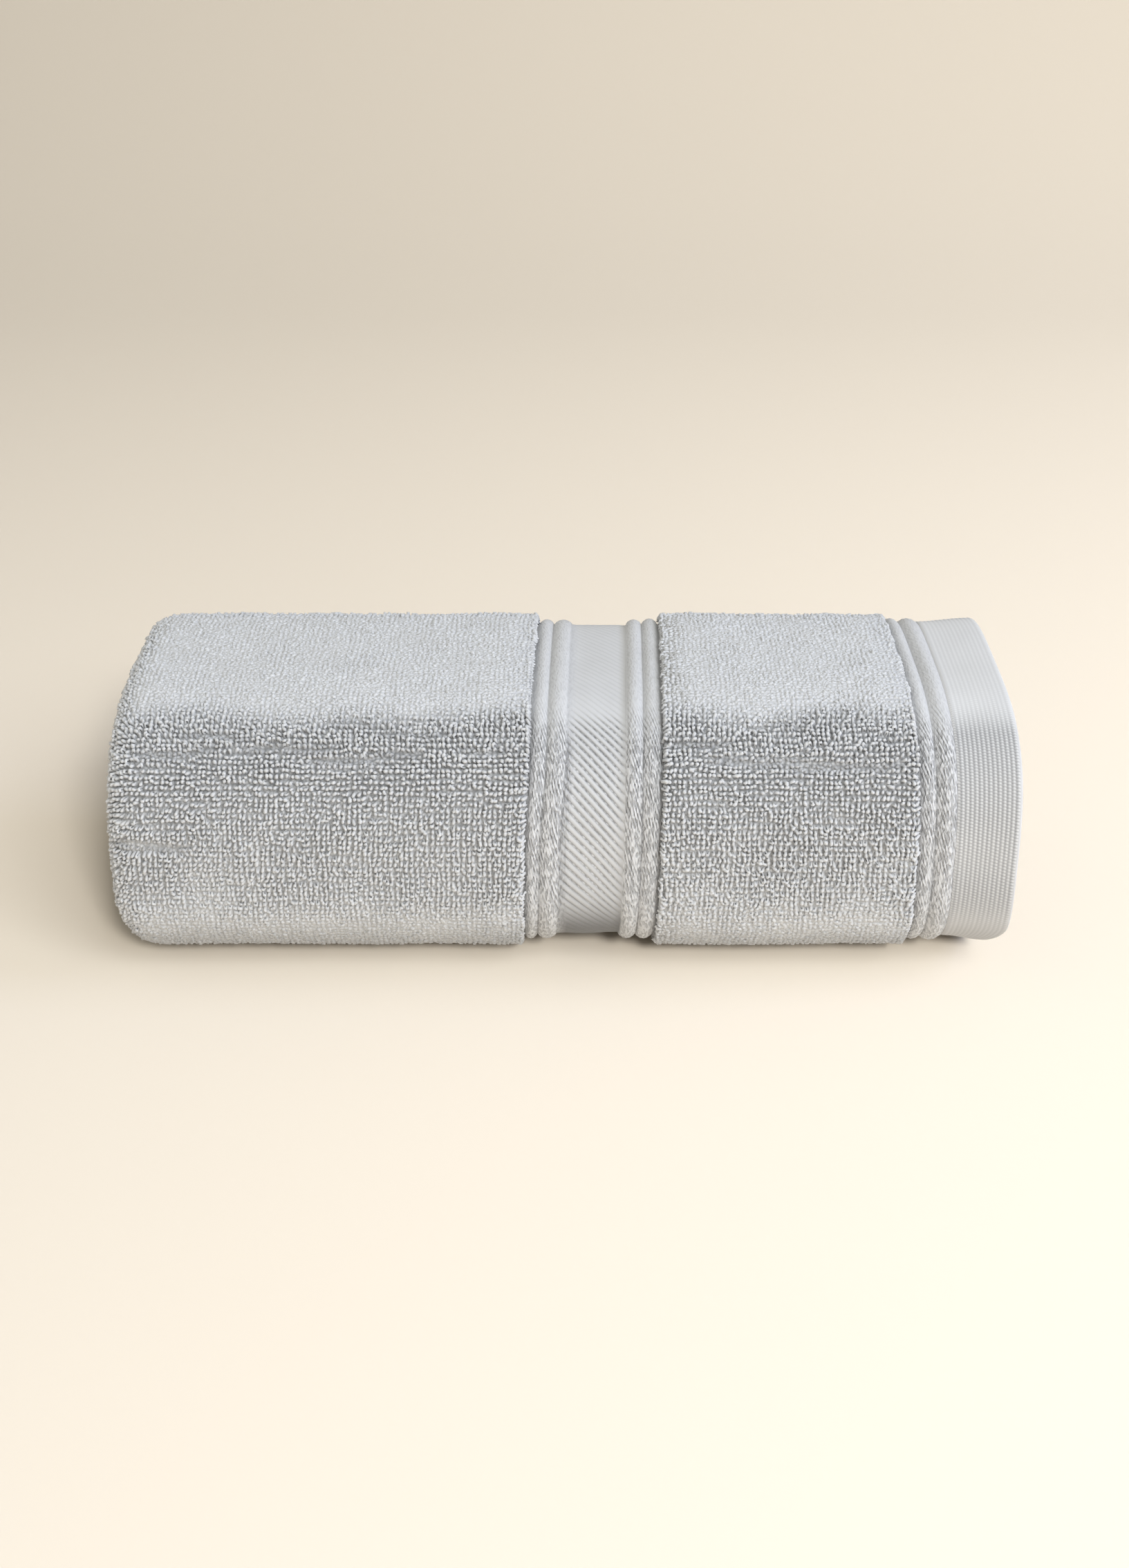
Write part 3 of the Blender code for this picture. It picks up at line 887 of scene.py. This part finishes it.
# %% Shape of each loop
UNEVEN = {"tall": (0.13, 0.6, 1.35), "span": (0.22, 0.5, 1.6), "thick": (0.10, 0.75, 1.3)}
DROOP = 0.55 * MM
LEAN_ACROSS = {"by": 0.32 * MM, "waves": 0.2 * MM, "over_edge": 0.8 * MM}
LEAN_ALONG = 0.36 * MM
ROOT_DEPTH = GROUND + 0.25 * MM
ROOT_OFF_FLOOR = 0.2 * MM
ROOT_RAISED = 0.85 * MM
YAW = {"mean": math.radians(50), "by": 0.75, "waves": 0.4}
TWIST = 0.5
LEAN_POWER = 1.4


def uneven(draw, part, count, waved=0.0):
    """A size for each loop, about 1, drawn at random and kept within bounds."""
    by, least, most = UNEVEN[part]
    return np.clip(draw.normal(1.0, by, count) + waved, least, most)


def lean_of(draw, seed, spots, axes, calm):
    """How far the top of each loop hangs down and leans to a side."""
    across, winding, normal = axes
    count = len(calm)
    down = np.array([0.0, 0.0, -1.0]) + normal * normal[:, 2:]
    steep = np.linalg.norm(down, axis=1)
    hang = DROOP * draw.uniform(0.55, 1.25, count) * (1.0 - 0.5 * calm)
    aside = draw.normal(0, LEAN_ACROSS["by"], count)
    aside += LEAN_ACROSS["waves"] * waves(spots["w"], spots["s"], 8 * MM, 5 * MM, seed + 5)
    aside -= LEAN_ACROSS["over_edge"] * spots["over_edge"]
    back = draw.normal(0, LEAN_ALONG, count) * (1.2 - 0.5 * steep)
    return down * hang[:, None] + across * aside[:, None] + winding * back[:, None]


def copies_of_loop(root, axes, sizes, angle, lean):
    """The points of every copy of the arch, turned, stretched and leaned its own way."""
    across, winding, normal = axes
    tall, span, thick = (size[:, None] for size in sizes)
    rise = RISE[RING_NUMBER]
    flat_x = RING_MIDDLES[RING_NUMBER, 0] * span + LOOP_OFFSETS[:, 0] * thick
    flat_y = LOOP_OFFSETS[:, 1] * thick
    up = rise * tall + LOOP_OFFSETS[:, 2] * thick
    turned_x = flat_x * np.cos(angle) - flat_y * np.sin(angle)
    turned_y = flat_x * np.sin(angle) + flat_y * np.cos(angle)
    places = root[:, None, :] + across[:, None, :] * turned_x[..., None]
    places += winding[:, None, :] * turned_y[..., None] + normal[:, None, :] * up[..., None]
    places += lean[:, None, :] * (rise**LEAN_POWER)[None, :, None]
    places[..., 2] = np.maximum(places[..., 2], FLOOR_GAP)
    return places


def mesh_of_copies(name, places, faces):
    """One mesh of many copies of a small form made of four-sided faces."""
    count, points = places.shape[:2]
    corners = (faces[None] + (np.arange(count) * points)[:, None, None]).ravel()
    mesh = bpy.data.meshes.new(name)
    mesh.vertices.add(count * points)
    mesh.vertices.foreach_set("co", places.ravel())
    mesh.loops.add(len(corners))
    mesh.loops.foreach_set("vertex_index", corners)
    mesh.polygons.add(len(corners) // 4)
    mesh.polygons.foreach_set("loop_start", np.arange(0, len(corners), 4))
    mesh.update(calc_edges=True)
    mesh.shade_smooth()
    return mesh


print("loops are", round(LOOP_HEIGHT / MM, 2), "mm tall and droop by", round(DROOP / MM, 2))

# %% Fields of loops
def loop_field(name, field):
    """Loops in rows and columns over one stretch of cloth, as one mesh."""
    seed, draw = field["seed"], np.random.default_rng(field["seed"])
    spots = loop_spots(draw, field)
    w, s, x = spots["w"], spots["s"], spots["x"]
    count = len(s)
    axes = loop_axes(spots)
    calm, shoulder, creased = calmness(x, s), shoulder_of(x, s), spots["creased"]
    root = lay(x, s, spots["depth"]) - axes[2] * ROOT_DEPTH
    root[:, 2] = np.maximum(root[:, 2], ROOT_OFF_FLOOR)
    root += axes[2] * (ROOT_RAISED * calm)[:, None]
    tall = LOOP_HEIGHT * uneven(draw, "tall", count, 0.10 * waves(w, s, 6 * MM, 6 * MM, seed + 3))
    tall *= (1.0 - 0.45 * calm) * (1.0 - 0.45 * creased)
    span = uneven(draw, "span", count)
    thick = uneven(draw, "thick", count) * (1.0 + 0.15 * calm + 0.1 * shoulder)
    yaw = YAW["mean"] + draw.normal(0.0, YAW["by"], count)
    yaw += YAW["waves"] * waves(w, s, 5 * MM, 5 * MM, seed + 4)
    angle = yaw[:, None] + draw.normal(0.0, TWIST, count)[:, None] * RISE[RING_NUMBER]
    lean = lean_of(draw, seed, spots, axes, calm)
    mesh = mesh_of_copies(name, copies_of_loop(root, axes, (tall, span, thick), angle, lean), LOOP_FACES)

    # Painted shade: the roots of each loop are darker, more over the shoulder and less where the pile is
    # pressed, and whole loops are darker where the cloth turns under, over the shoulder and in creases.
    painted_gap_shade = (0.35 - 0.3 * calm + 0.3 * shoulder)[:, None] * (1.0 - RISE[RING_NUMBER])
    shaded = 0.7 * low_down(x, s) + 0.07 * shoulder + 0.8 * creased
    tone = np.repeat(draw.uniform(0, 1, count), len(LOOP_POINTS))
    colour_points(mesh, tone=tone, tip=(1.0 - painted_gap_shade - shaded[:, None]).ravel())
    print(f"{name}: {count} loops, {2 * len(mesh.polygons)} triangles")
    return mesh


EDGE = 0.2 * MM
flat_end, fold_end = float(PILE_LEFT[0][1]), float(PILE_LEFT[0][-1])
middle_end, inner_end = float(PILE_MIDDLE[0][-1]), float(INNER_FOLD[0][-1])
LEFT = {"profile": PILE_LEFT, "w": (EDGE, fold_end), "edges": [(0.0, -1)]}
MIDDLE = {"profile": PILE_MIDDLE, "w": (EDGE, middle_end - EDGE), "edges": [(0.0, -1), (middle_end, 1)]}
INNER_TURNS = {"profile": PILE_LEFT, "w": (flat_end + 10 * MM, fold_end - 3 * MM), "edges": ()}
FOLD_INSIDE = {"profile": INNER_FOLD, "w": (5 * MM, inner_end - 5 * MM), "edges": ()}
S_FIRST, S_LAST = -TIP_LENGTH * 0.75, S_COVERED + 14 * MM
S_TOP, S_MIDDLE, S_FACE, S_UNDER = 120 * MM, 200 * MM, 250 * MM, 355 * MM
FIELDS = {
    "loops_left_back": {**LEFT, "s": (S_FIRST, S_TOP), "seed": 11},
    "loops_left_top": {**LEFT, "s": (S_TOP, S_FACE), "seed": 21},
    "loops_left_front": {**LEFT, "s": (S_FACE, S_UNDER), "seed": 31},
    "loops_left_under": {**LEFT, "s": (S_UNDER, S_LAST), "seed": 32},
    "loops_middle_back": {**MIDDLE, "s": (S_FIRST, S_MIDDLE), "seed": 41},
    "loops_middle_front": {**MIDDLE, "s": (S_MIDDLE, S_LAST), "seed": 51},
    "loops_inner_turns": {**INNER_TURNS, "s": (S_LAST, S_END), "seed": 61},
    "loops_inner_fold": {**FOLD_INSIDE, "s": (0.0, S_END), "seed": 71},
}
loop_meshes = [loop_field(name, field) for name, field in FIELDS.items()]
print("loops in all:", sum(len(m.polygons) for m in loop_meshes) // len(LOOP_FACES))

# %% [markdown]
# ## The twill band and the cords
# The band is a flat twill, whose ridges run down to the right at 45 degrees, and the cords
# beside it are soft ropes of yarn that run the same way but much steeper. One grid makes both:
# its cross lines are slanted so that they follow the ridges, gently over the band and steeply
# over the cords. Then few points are needed along each ridge, and the fine steps all go across.

# %% Columns of the band and the cords
RIDGE_PITCH = 4.05 * MM
RIDGE_PHASES = (0.0, 0.07, 0.17, 0.36, 0.60, 0.83, 0.93)
GROOVE_WIDTH = 0.14
RIDGE_DEPTH = {"band": 1.0 * MM, "cord": 0.6 * MM}
RIDGE_SLOPE = {"band": 1.25, "cord": 3.3}
COLUMN_SHARES = {"band": tuple(k / 7 for k in range(8)), "cord": (0.0, 0.1, 0.3, 0.5, 0.7, 0.9, 1.0)}
TUCK = 1.2 * MM
FOOT = {"sink": CORD_FOOT + 0.5 * MM, "kind": "cord", "strength": 0.0, "groove": 1.0}


def band_column(zone, share):
    """The sink and the ridges of a column of the band, which is a little lower at its sides."""
    middle = share * (1 - share)
    sink = zone["sink"] + 0.25 * MM * (1 - min(1.0, 6 * middle))
    return {"sink": sink, "kind": "band", "strength": min(1.0, 8 * middle), "groove": 0.0}


def cord_column(zone, share):
    """The sink and the ridges of a column of a cord, which is round, with a groove beside it that gets
    painted shade.
    """
    crown = math.sin(math.pi * share) ** 0.7 if 0 < share < 1 else 0.0
    sink = CORD_FOOT + (zone["sink"] - CORD_FOOT) * crown
    groove = 1.0 if share in (0.0, 1.0) else 0.0
    return {"sink": sink, "kind": "cord", "strength": 0.25 + 0.75 * crown, "groove": groove}


def zone_columns(names):
    """Columns over some zones, from under the pile on one side to under it on the other."""
    columns = [{"x": ZONES[names[0]]["start"] - TUCK, **FOOT}]
    for name in names:
        zone = ZONES[name]
        kind, column_of = ("band", band_column) if name == "band" else ("cord", cord_column)
        for share in COLUMN_SHARES[kind]:
            if share > 0.0 or len(columns) == 1:
                x = zone["start"] + (zone["end"] - zone["start"]) * share
                columns.append({"x": x, **column_of(zone, share)})
    return columns + [{"x": ZONES[names[-1]]["end"] + TUCK, **FOOT}]


print("columns of the hem cords:", len(zone_columns(("cord_e", "cord_f"))))

# %% Band and cords
PRESSED_FLAT = 0.85
LEAST_BROKEN = 0.15
WOVEN_WOBBLE = 0.12 * MM
END_TUCK = 1.5 * MM
FULL_RIDGE = 0.3 * MM
ON_TOP = (0.8, 0.18)
UNDER = (0.1, 0.6)


def ridge_height(phase):
    """0 in the narrow groove between two ridges, 1 over the ridge."""
    away = np.minimum(phase, 1 - phase)
    return 1.0 - np.exp(-((away / GROOVE_WIDTH) ** 2))


def woven_strip(name, names):
    """A strip of band and cords, one grid whose cross lines run along the ridges."""
    columns = zone_columns(names)
    keys = ("x", "sink", "strength", "groove")
    x, sink, strength, groove = (np.array([c[key] for c in columns]) for key in keys)
    slope = np.array([RIDGE_SLOPE[c["kind"]] for c in columns])
    deep = np.array([RIDGE_DEPTH[c["kind"]] for c in columns]) * strength
    slide = np.concatenate([[0], np.cumsum(np.diff(x) * slope[1:])])
    ridges = math.ceil((WOVEN_TO - WOVEN_FROM + slide[-1]) / RIDGE_PITCH)
    phases = np.array([ridge + phase for ridge in range(ridges) for phase in RIDGE_PHASES])
    mesh, column, row = flat_grid(len(x), len(phases))
    x, sink, deep, groove = x[column], sink[column], deep[column], groove[column]
    in_cord = np.array([c["kind"] == "cord" for c in columns])[column]

    s = WOVEN_FROM - slide[-1] + phases[row] * RIDGE_PITCH + slide[column]
    wobble = waves(x, s, 3 * MM, 9 * MM, 81) * WOVEN_WOBBLE
    broken = np.clip(0.5 + 0.5 * waves(x, s, 0.9 * MM, 2.2 * MM, 82, count=9), LEAST_BROKEN, 1.0)
    fall = (1.0 - ridge_height(phases[row] % 1.0)) * np.where(in_cord, broken, 1.0)
    fall = fall * (1.0 - PRESSED_FLAT * calmness(x, s))
    inside = (s > WOVEN_FROM) & (s < WOVEN_TO)
    s = np.clip(s, WOVEN_FROM, WOVEN_TO)
    depth = sink + deep * fall + wobble * (deep > 0) + np.where(inside, 0.0, END_TUCK)

    # Painted light and shade: the tone is lighter on top of the roll and darker under the band, and tip
    # darkens the grooves between ridges, the groove beside each cord, the underside of the band and the band
    # near the floor.
    facing_up = np.interp(s, S, OUTWARD[:, 1])
    on_top = eased(facing_up, *ON_TOP)
    under = eased(-facing_up, *UNDER) * (1 - in_cord)
    ridge = 1.0 - fall * np.minimum(deep / FULL_RIDGE, 1.0)
    tip = ridge * (1.0 - (0.5 - 0.25 * on_top) * groove) * (1.0 - 0.75 * under)
    tip = tip - 0.3 * near_floor(s) * (1 - in_cord)
    strands = in_cord * (1.0 - 0.8 * on_top) * (1.0 - 0.3 * near_floor(s))
    colour_points(mesh, tone=0.5 + 0.5 * on_top - 0.5 * under, tip=tip, strands=strands)
    return finish_mesh(mesh, name, lay(x, s, depth))


border_mesh = woven_strip("border", ("cord_a", "cord_b", "band", "cord_c", "cord_d"))
hem_cords_mesh = woven_strip("hem_cords", ("cord_e", "cord_f"))

# %% [markdown]
# ## The hem
# The hem is turned in twice and woven in small bumps that stand in columns, every other column
# half a step lower, like a basket. It is a little fuller towards its edge. Its grid goes over
# the edge and back inside, so the edge is thick and round.

# %% The hem
HEM_COLUMN = 1.78 * MM
HEM_BUMP = 1.38 * MM
HEM_RELIEF = 0.75 * MM
HEM_COLUMN_STEPS = 2
HEM_BUMP_STEPS = 3
HEM_TUCK = 0.6 * MM
HEM_END_TUCK = 1.2 * MM
HEM_FLARE = 0.35 * MM
HEM_WAVES = 0.3 * MM
TURNED_EDGE_IN_MM = ((0.35, 2.0), (0.0, 2.8), (0.1, 3.7), (0.6, 4.5), (1.6, 5.0), (5.0, 5.35), (12.0, 5.4))
TURNED_EDGE_STRENGTH = 0.15


def hem_columns():
    """Columns over the hem and back inside its edge: x, sink, woven column, and its strength."""
    zone = ZONES["hem"]
    start, edge_x = zone["start"] - HEM_TUCK, RIGHT_END - HEM_LIP
    steps = round((edge_x - start) / HEM_COLUMN) * HEM_COLUMN_STEPS
    share = np.arange(steps + 1) / steps
    sink = zone["sink"] + soft(share) * (HEM_EDGE_SINK - zone["sink"])
    strength = np.where(share < 1, 1.0, 0.4)
    sink[0], strength[0] = CORD_FOOT + 0.4 * MM, 0.0
    back, turned_sink = (np.array(TURNED_EDGE_IN_MM) * MM).T
    return (
        np.concatenate([start + (edge_x - start) * share, RIGHT_END - back]),
        np.concatenate([sink, turned_sink]),
        np.minimum(np.arange(steps + 1 + len(back)), steps) / HEM_COLUMN_STEPS,
        np.concatenate([strength, np.full(len(back), TURNED_EDGE_STRENGTH)]),
    )


def woven_hem():
    """The hem, one grid over its bumps, round its edge and back inside."""
    columns = hem_columns()
    rows = round((WOVEN_TO - WOVEN_FROM) / (HEM_BUMP / HEM_BUMP_STEPS))
    mesh, column, row = flat_grid(len(columns[0]), rows)
    x, sink, woven, strength = (values[column] for values in columns)
    s = WOVEN_FROM + (WOVEN_TO - WOVEN_FROM) * row / (rows - 1)
    across = np.abs(np.sin(np.pi * woven))
    bump = np.abs(np.sin(np.pi * (s / HEM_BUMP + 0.5 * (np.floor(woven) % 2))))
    relief = HEM_RELIEF * strength * (0.35 + 0.65 * across) * (0.3 + 0.7 * bump)
    relief = HEM_RELIEF - (HEM_RELIEF - relief) * (1.0 - 0.7 * calmness(x, s))
    depth = sink + HEM_RELIEF - relief + HEM_WAVES * waves(x, s, 9 * MM, 15 * MM, 92)
    depth = depth + np.where((row == 0) | (row == rows - 1), HEM_END_TUCK, 0.0)
    reach = soft((x - ZONES["hem"]["start"]) / (RIGHT_END - ZONES["hem"]["start"]))
    flare = HEM_FLARE * waves(0.0 * x, s, 10 * MM, 22 * MM, 91)
    # Painted shade: darker in the gaps between the bumps, and towards the floor.
    painted_gap_shade = (1.0 - np.clip(relief / HEM_RELIEF, 0, 1)) * strength
    colour_points(mesh, tone=0.5, tip=1.0 - painted_gap_shade - 0.35 * near_floor(s))
    return finish_mesh(mesh, "hem", lay(x + flare * reach, s, depth))


hem_mesh = woven_hem()

# %% [markdown]
# ## Cotton
# Everything is one cotton yarn dyed one pale grey, so the finishes share a node group that varies the colour
# in soft patches and from yarn to yarn. The flat weaves get their own values of the same grey, because a
# smooth surface looks lighter than loops do in the same light. So these values are painted light and shade:
# the band and the cords are darker than the loops, and the hem lighter.

# %% Helpers for nodes
def add_node(tree, kind, **inputs):
    """A new node. Each input gets a number or another node's output, and _ stands for a space."""
    node = tree.nodes.new(kind)
    for name, value in inputs.items():
        entry = node.inputs[name.replace("_", " ")]
        if isinstance(value, bpy.types.NodeSocket):
            tree.links.new(value, entry)
        else:
            entry.default_value = value
    return node


def times(tree, first, second):
    """The product of two outputs."""
    node = tree.nodes.new("ShaderNodeMath")
    node.operation = "MULTIPLY"
    tree.links.new(first, node.inputs[0])
    tree.links.new(second, node.inputs[1])
    return node.outputs["Value"]


def ranged(tree, value, least, most):
    """Carries a value from 0..1 to between two others."""
    return add_node(tree, "ShaderNodeMapRange", Value=value, To_Min=least, To_Max=most).outputs["Result"]


def from_points(tree, name):
    """The value of one of the attributes that colour_points made."""
    node = tree.nodes.new("ShaderNodeAttribute")
    node.attribute_name = name
    return node.outputs["Fac"]


def place_of(tree):
    """The place on the piece."""
    return tree.nodes.new("ShaderNodeTexCoord").outputs["Object"]


# %% The shared cotton colour
COTTON = (0.59, 0.60, 0.61)
# Darker and lighter copies of the one grey: painted shade on the band and cords, painted light on the hem.
WOVEN_COTTON = (0.458, 0.463, 0.470)
HEM_COTTON = (0.69, 0.695, 0.70)
PATCHES_PER_METRE = 55.0
GROUP_INPUTS = {"Colour": "NodeSocketColor", "Yarn tone": "NodeSocketFloat", "Root shade": "NodeSocketFloat"}


def cotton_group():
    """A node group: the cotton's colour, varied softly in patches and from yarn to yarn."""
    group = bpy.data.node_groups.new("cotton_colour", "ShaderNodeTree")
    for name, kind in GROUP_INPUTS.items():
        group.interface.new_socket(name=name, in_out="INPUT", socket_type=kind)
    group.interface.new_socket(name="Colour", in_out="OUTPUT", socket_type="NodeSocketColor")
    entry, leave = group.nodes.new("NodeGroupInput"), group.nodes.new("NodeGroupOutput")
    patches = add_node(
        group, "ShaderNodeTexNoise", Vector=place_of(group), Scale=PATCHES_PER_METRE, Detail=3.0)
    from_patches = ranged(group, patches.outputs["Fac"], 0.95, 1.05)
    from_yarn = ranged(group, entry.outputs["Yarn tone"], 0.94, 1.06)
    shaded = times(group, times(group, from_patches, from_yarn), entry.outputs["Root shade"])
    coloured = group.nodes.new("ShaderNodeVectorMath")
    coloured.operation = "SCALE"
    group.links.new(entry.outputs["Colour"], coloured.inputs[0])
    group.links.new(shaded, coloured.inputs["Scale"])
    group.links.new(coloured.outputs["Vector"], leave.inputs["Colour"])
    return group


COTTON_GROUP = cotton_group()
print("group:", COTTON_GROUP.name, "with", len(COTTON_GROUP.nodes), "nodes")

# %% [markdown]
# ## Beads and strands
# Between the loops the tops of deeper loops show as small round beads, and the cords are made of short
# strands that run round the roll. Modelling them would need millions of faces. A Voronoi pattern gives the
# beads, and noise that is stretched and turned a little gives the strands. Each bumps the surface and paints
# it too: painted light on the crowns of the beads and strands, and painted shade in the hollows between
# them.

# %% Beads and strands
BEADS_PER_METRE = 560
BEAD_SHADES = {"deep": (0.6, 1.4), "calm": (0.9, 1.06)}
BEAD_DEPTH = 0.7 * MM
STRANDS_PER_METRE = (1300.0, 400.0, 400.0)
STRAND_SLANT = math.radians(-17)
STRAND_SHADES = (0.84, 1.32)
STRAND_DEPTH = 0.5 * MM
NO_STRAND = 0.7


def bead_pattern(tree, tip):
    """Round beads, fainter where the pile is calm: their height, and their shade."""
    cells = add_node(
        tree, "ShaderNodeTexVoronoi", Vector=place_of(tree), Scale=BEADS_PER_METRE, Randomness=0.6)
    height = add_node(
        tree, "ShaderNodeMapRange", Value=cells.outputs["Distance"],
        From_Min=0.2, From_Max=0.75, To_Min=1.0, To_Max=0.0,
    ).outputs["Result"]
    least, most = (ranged(tree, tip, *ends) for ends in zip(BEAD_SHADES["deep"], BEAD_SHADES["calm"]))
    return height, ranged(tree, height, least, most), BEAD_DEPTH


def strand_pattern(tree, tip):
    """Short streaks round the roll, where the strands attribute asks for them."""
    turned = add_node(
        tree, "ShaderNodeMapping", Vector=place_of(tree), Rotation=(0.0, STRAND_SLANT, 0.0),
        Scale=STRANDS_PER_METRE,
    )
    streaks = add_node(tree, "ShaderNodeTexNoise", Vector=turned.outputs["Vector"], Scale=1.0, Detail=1.0)
    sharper = add_node(
        tree, "ShaderNodeMapRange", Value=streaks.outputs["Fac"], From_Min=0.36, From_Max=0.54)
    height = add_node(
        tree, "ShaderNodeMix", Factor=from_points(tree, "strands"), A=NO_STRAND,
        B=sharper.outputs["Result"],
    ).outputs["Result"]
    return height, ranged(tree, height, *STRAND_SHADES), STRAND_DEPTH


print("beads and strands to a metre:", BEADS_PER_METRE, STRANDS_PER_METRE[0])

# %% [markdown]
# ## The finishes
# Cotton scatters light between its fibres: it is quite matt, with a faint bloom at grazing angles, which the
# shader's sheen gives. A fine noise bump stands for the fibres. Below a loop or beside a ridge less light
# comes in than the renderer finds, so the tip attribute paints shade on the yarn there, and also where the
# cloth turns under, over the shoulder, in creases and near the floor.

# %% The finishes
# Each row: colour, roughness, sheen, fibres to a metre, their depth, shade at the root, pattern.
FINISHES = {
    "terry_loops": (COTTON, 0.95, 0.3, 1800.0, 0.18 * MM, 0.66, None),
    "ground_weave": (COTTON, 0.95, 0.3, 900.0, 0.25 * MM, 0.66, bead_pattern),
    "border_weave": (WOVEN_COTTON, 0.9, 0.1, 2600.0, 0.10 * MM, 0.35, strand_pattern),
    "hem_weave": (HEM_COTTON, 0.9, 0.1, 2600.0, 0.10 * MM, 0.2, None),
}
SPECULAR = 0.15
SHEEN_ROUGHNESS = 0.5
FIBRE_STRENGTH = 0.8


def cotton_material(name, colour, roughness, sheen, fibres_per_metre, fibre_depth, root_shade, pattern):
    """Matt cotton with a fibre bump and sheen, coloured by the tone of its points and darkened by tip, their
    painted shade.
    """
    material = bpy.data.materials.new(name)
    material.use_nodes = True
    tree = material.node_tree
    shader = tree.nodes["Principled BSDF"]
    shader.inputs["Roughness"].default_value = roughness
    shader.inputs["Specular IOR Level"].default_value = SPECULAR
    shader.inputs["Sheen Weight"].default_value = sheen
    shader.inputs["Sheen Roughness"].default_value = SHEEN_ROUGHNESS

    tip = from_points(tree, "tip")
    shade = ranged(tree, tip, root_shade, 1.0)
    fibres = add_node(tree, "ShaderNodeTexNoise", Vector=place_of(tree), Scale=fibres_per_metre, Detail=3.0)
    bump = add_node(
        tree, "ShaderNodeBump", Strength=FIBRE_STRENGTH, Distance=fibre_depth, Height=fibres.outputs["Fac"])
    if pattern:
        height, pattern_shade, depth = pattern(tree, tip)
        shade = times(tree, shade, pattern_shade)
        raised = add_node(tree, "ShaderNodeBump", Distance=depth, Height=height)
        tree.links.new(raised.outputs["Normal"], bump.inputs["Normal"])

    cotton = tree.nodes.new("ShaderNodeGroup")
    cotton.node_tree = COTTON_GROUP
    cotton.inputs["Colour"].default_value = (*colour, 1.0)
    tree.links.new(from_points(tree, "tone"), cotton.inputs["Yarn tone"])
    tree.links.new(shade, cotton.inputs["Root shade"])
    tree.links.new(cotton.outputs["Colour"], shader.inputs["Base Color"])
    tree.links.new(bump.outputs["Normal"], shader.inputs["Normal"])
    return material


finishes = {name: cotton_material(name, *row) for name, row in FINISHES.items()}
print("finishes:", list(finishes))

# %% [markdown]
# ## Putting the towel together
# The folded cloth replaces the frame's solid. The loops, the border, the cords and the hem are
# all parts of the same cloth, so they go with it.

# %% Pieces on the frame
cloth = link(cloth_mesh, "towel_cloth", finishes["ground_weave"])
pieces = [link(mesh, mesh.name, finishes["terry_loops"]) for mesh in loop_meshes]
pieces.append(link(border_mesh, "border", finishes["border_weave"]))
pieces.append(link(hem_cords_mesh, "hem_cords", finishes["border_weave"]))
pieces.append(link(hem_mesh, "hem", finishes["hem_weave"]))
for piece in [cloth] + pieces:
    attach(piece, BODY)
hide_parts(NODE)
print("pieces:", [piece.name for piece in [cloth] + pieces])
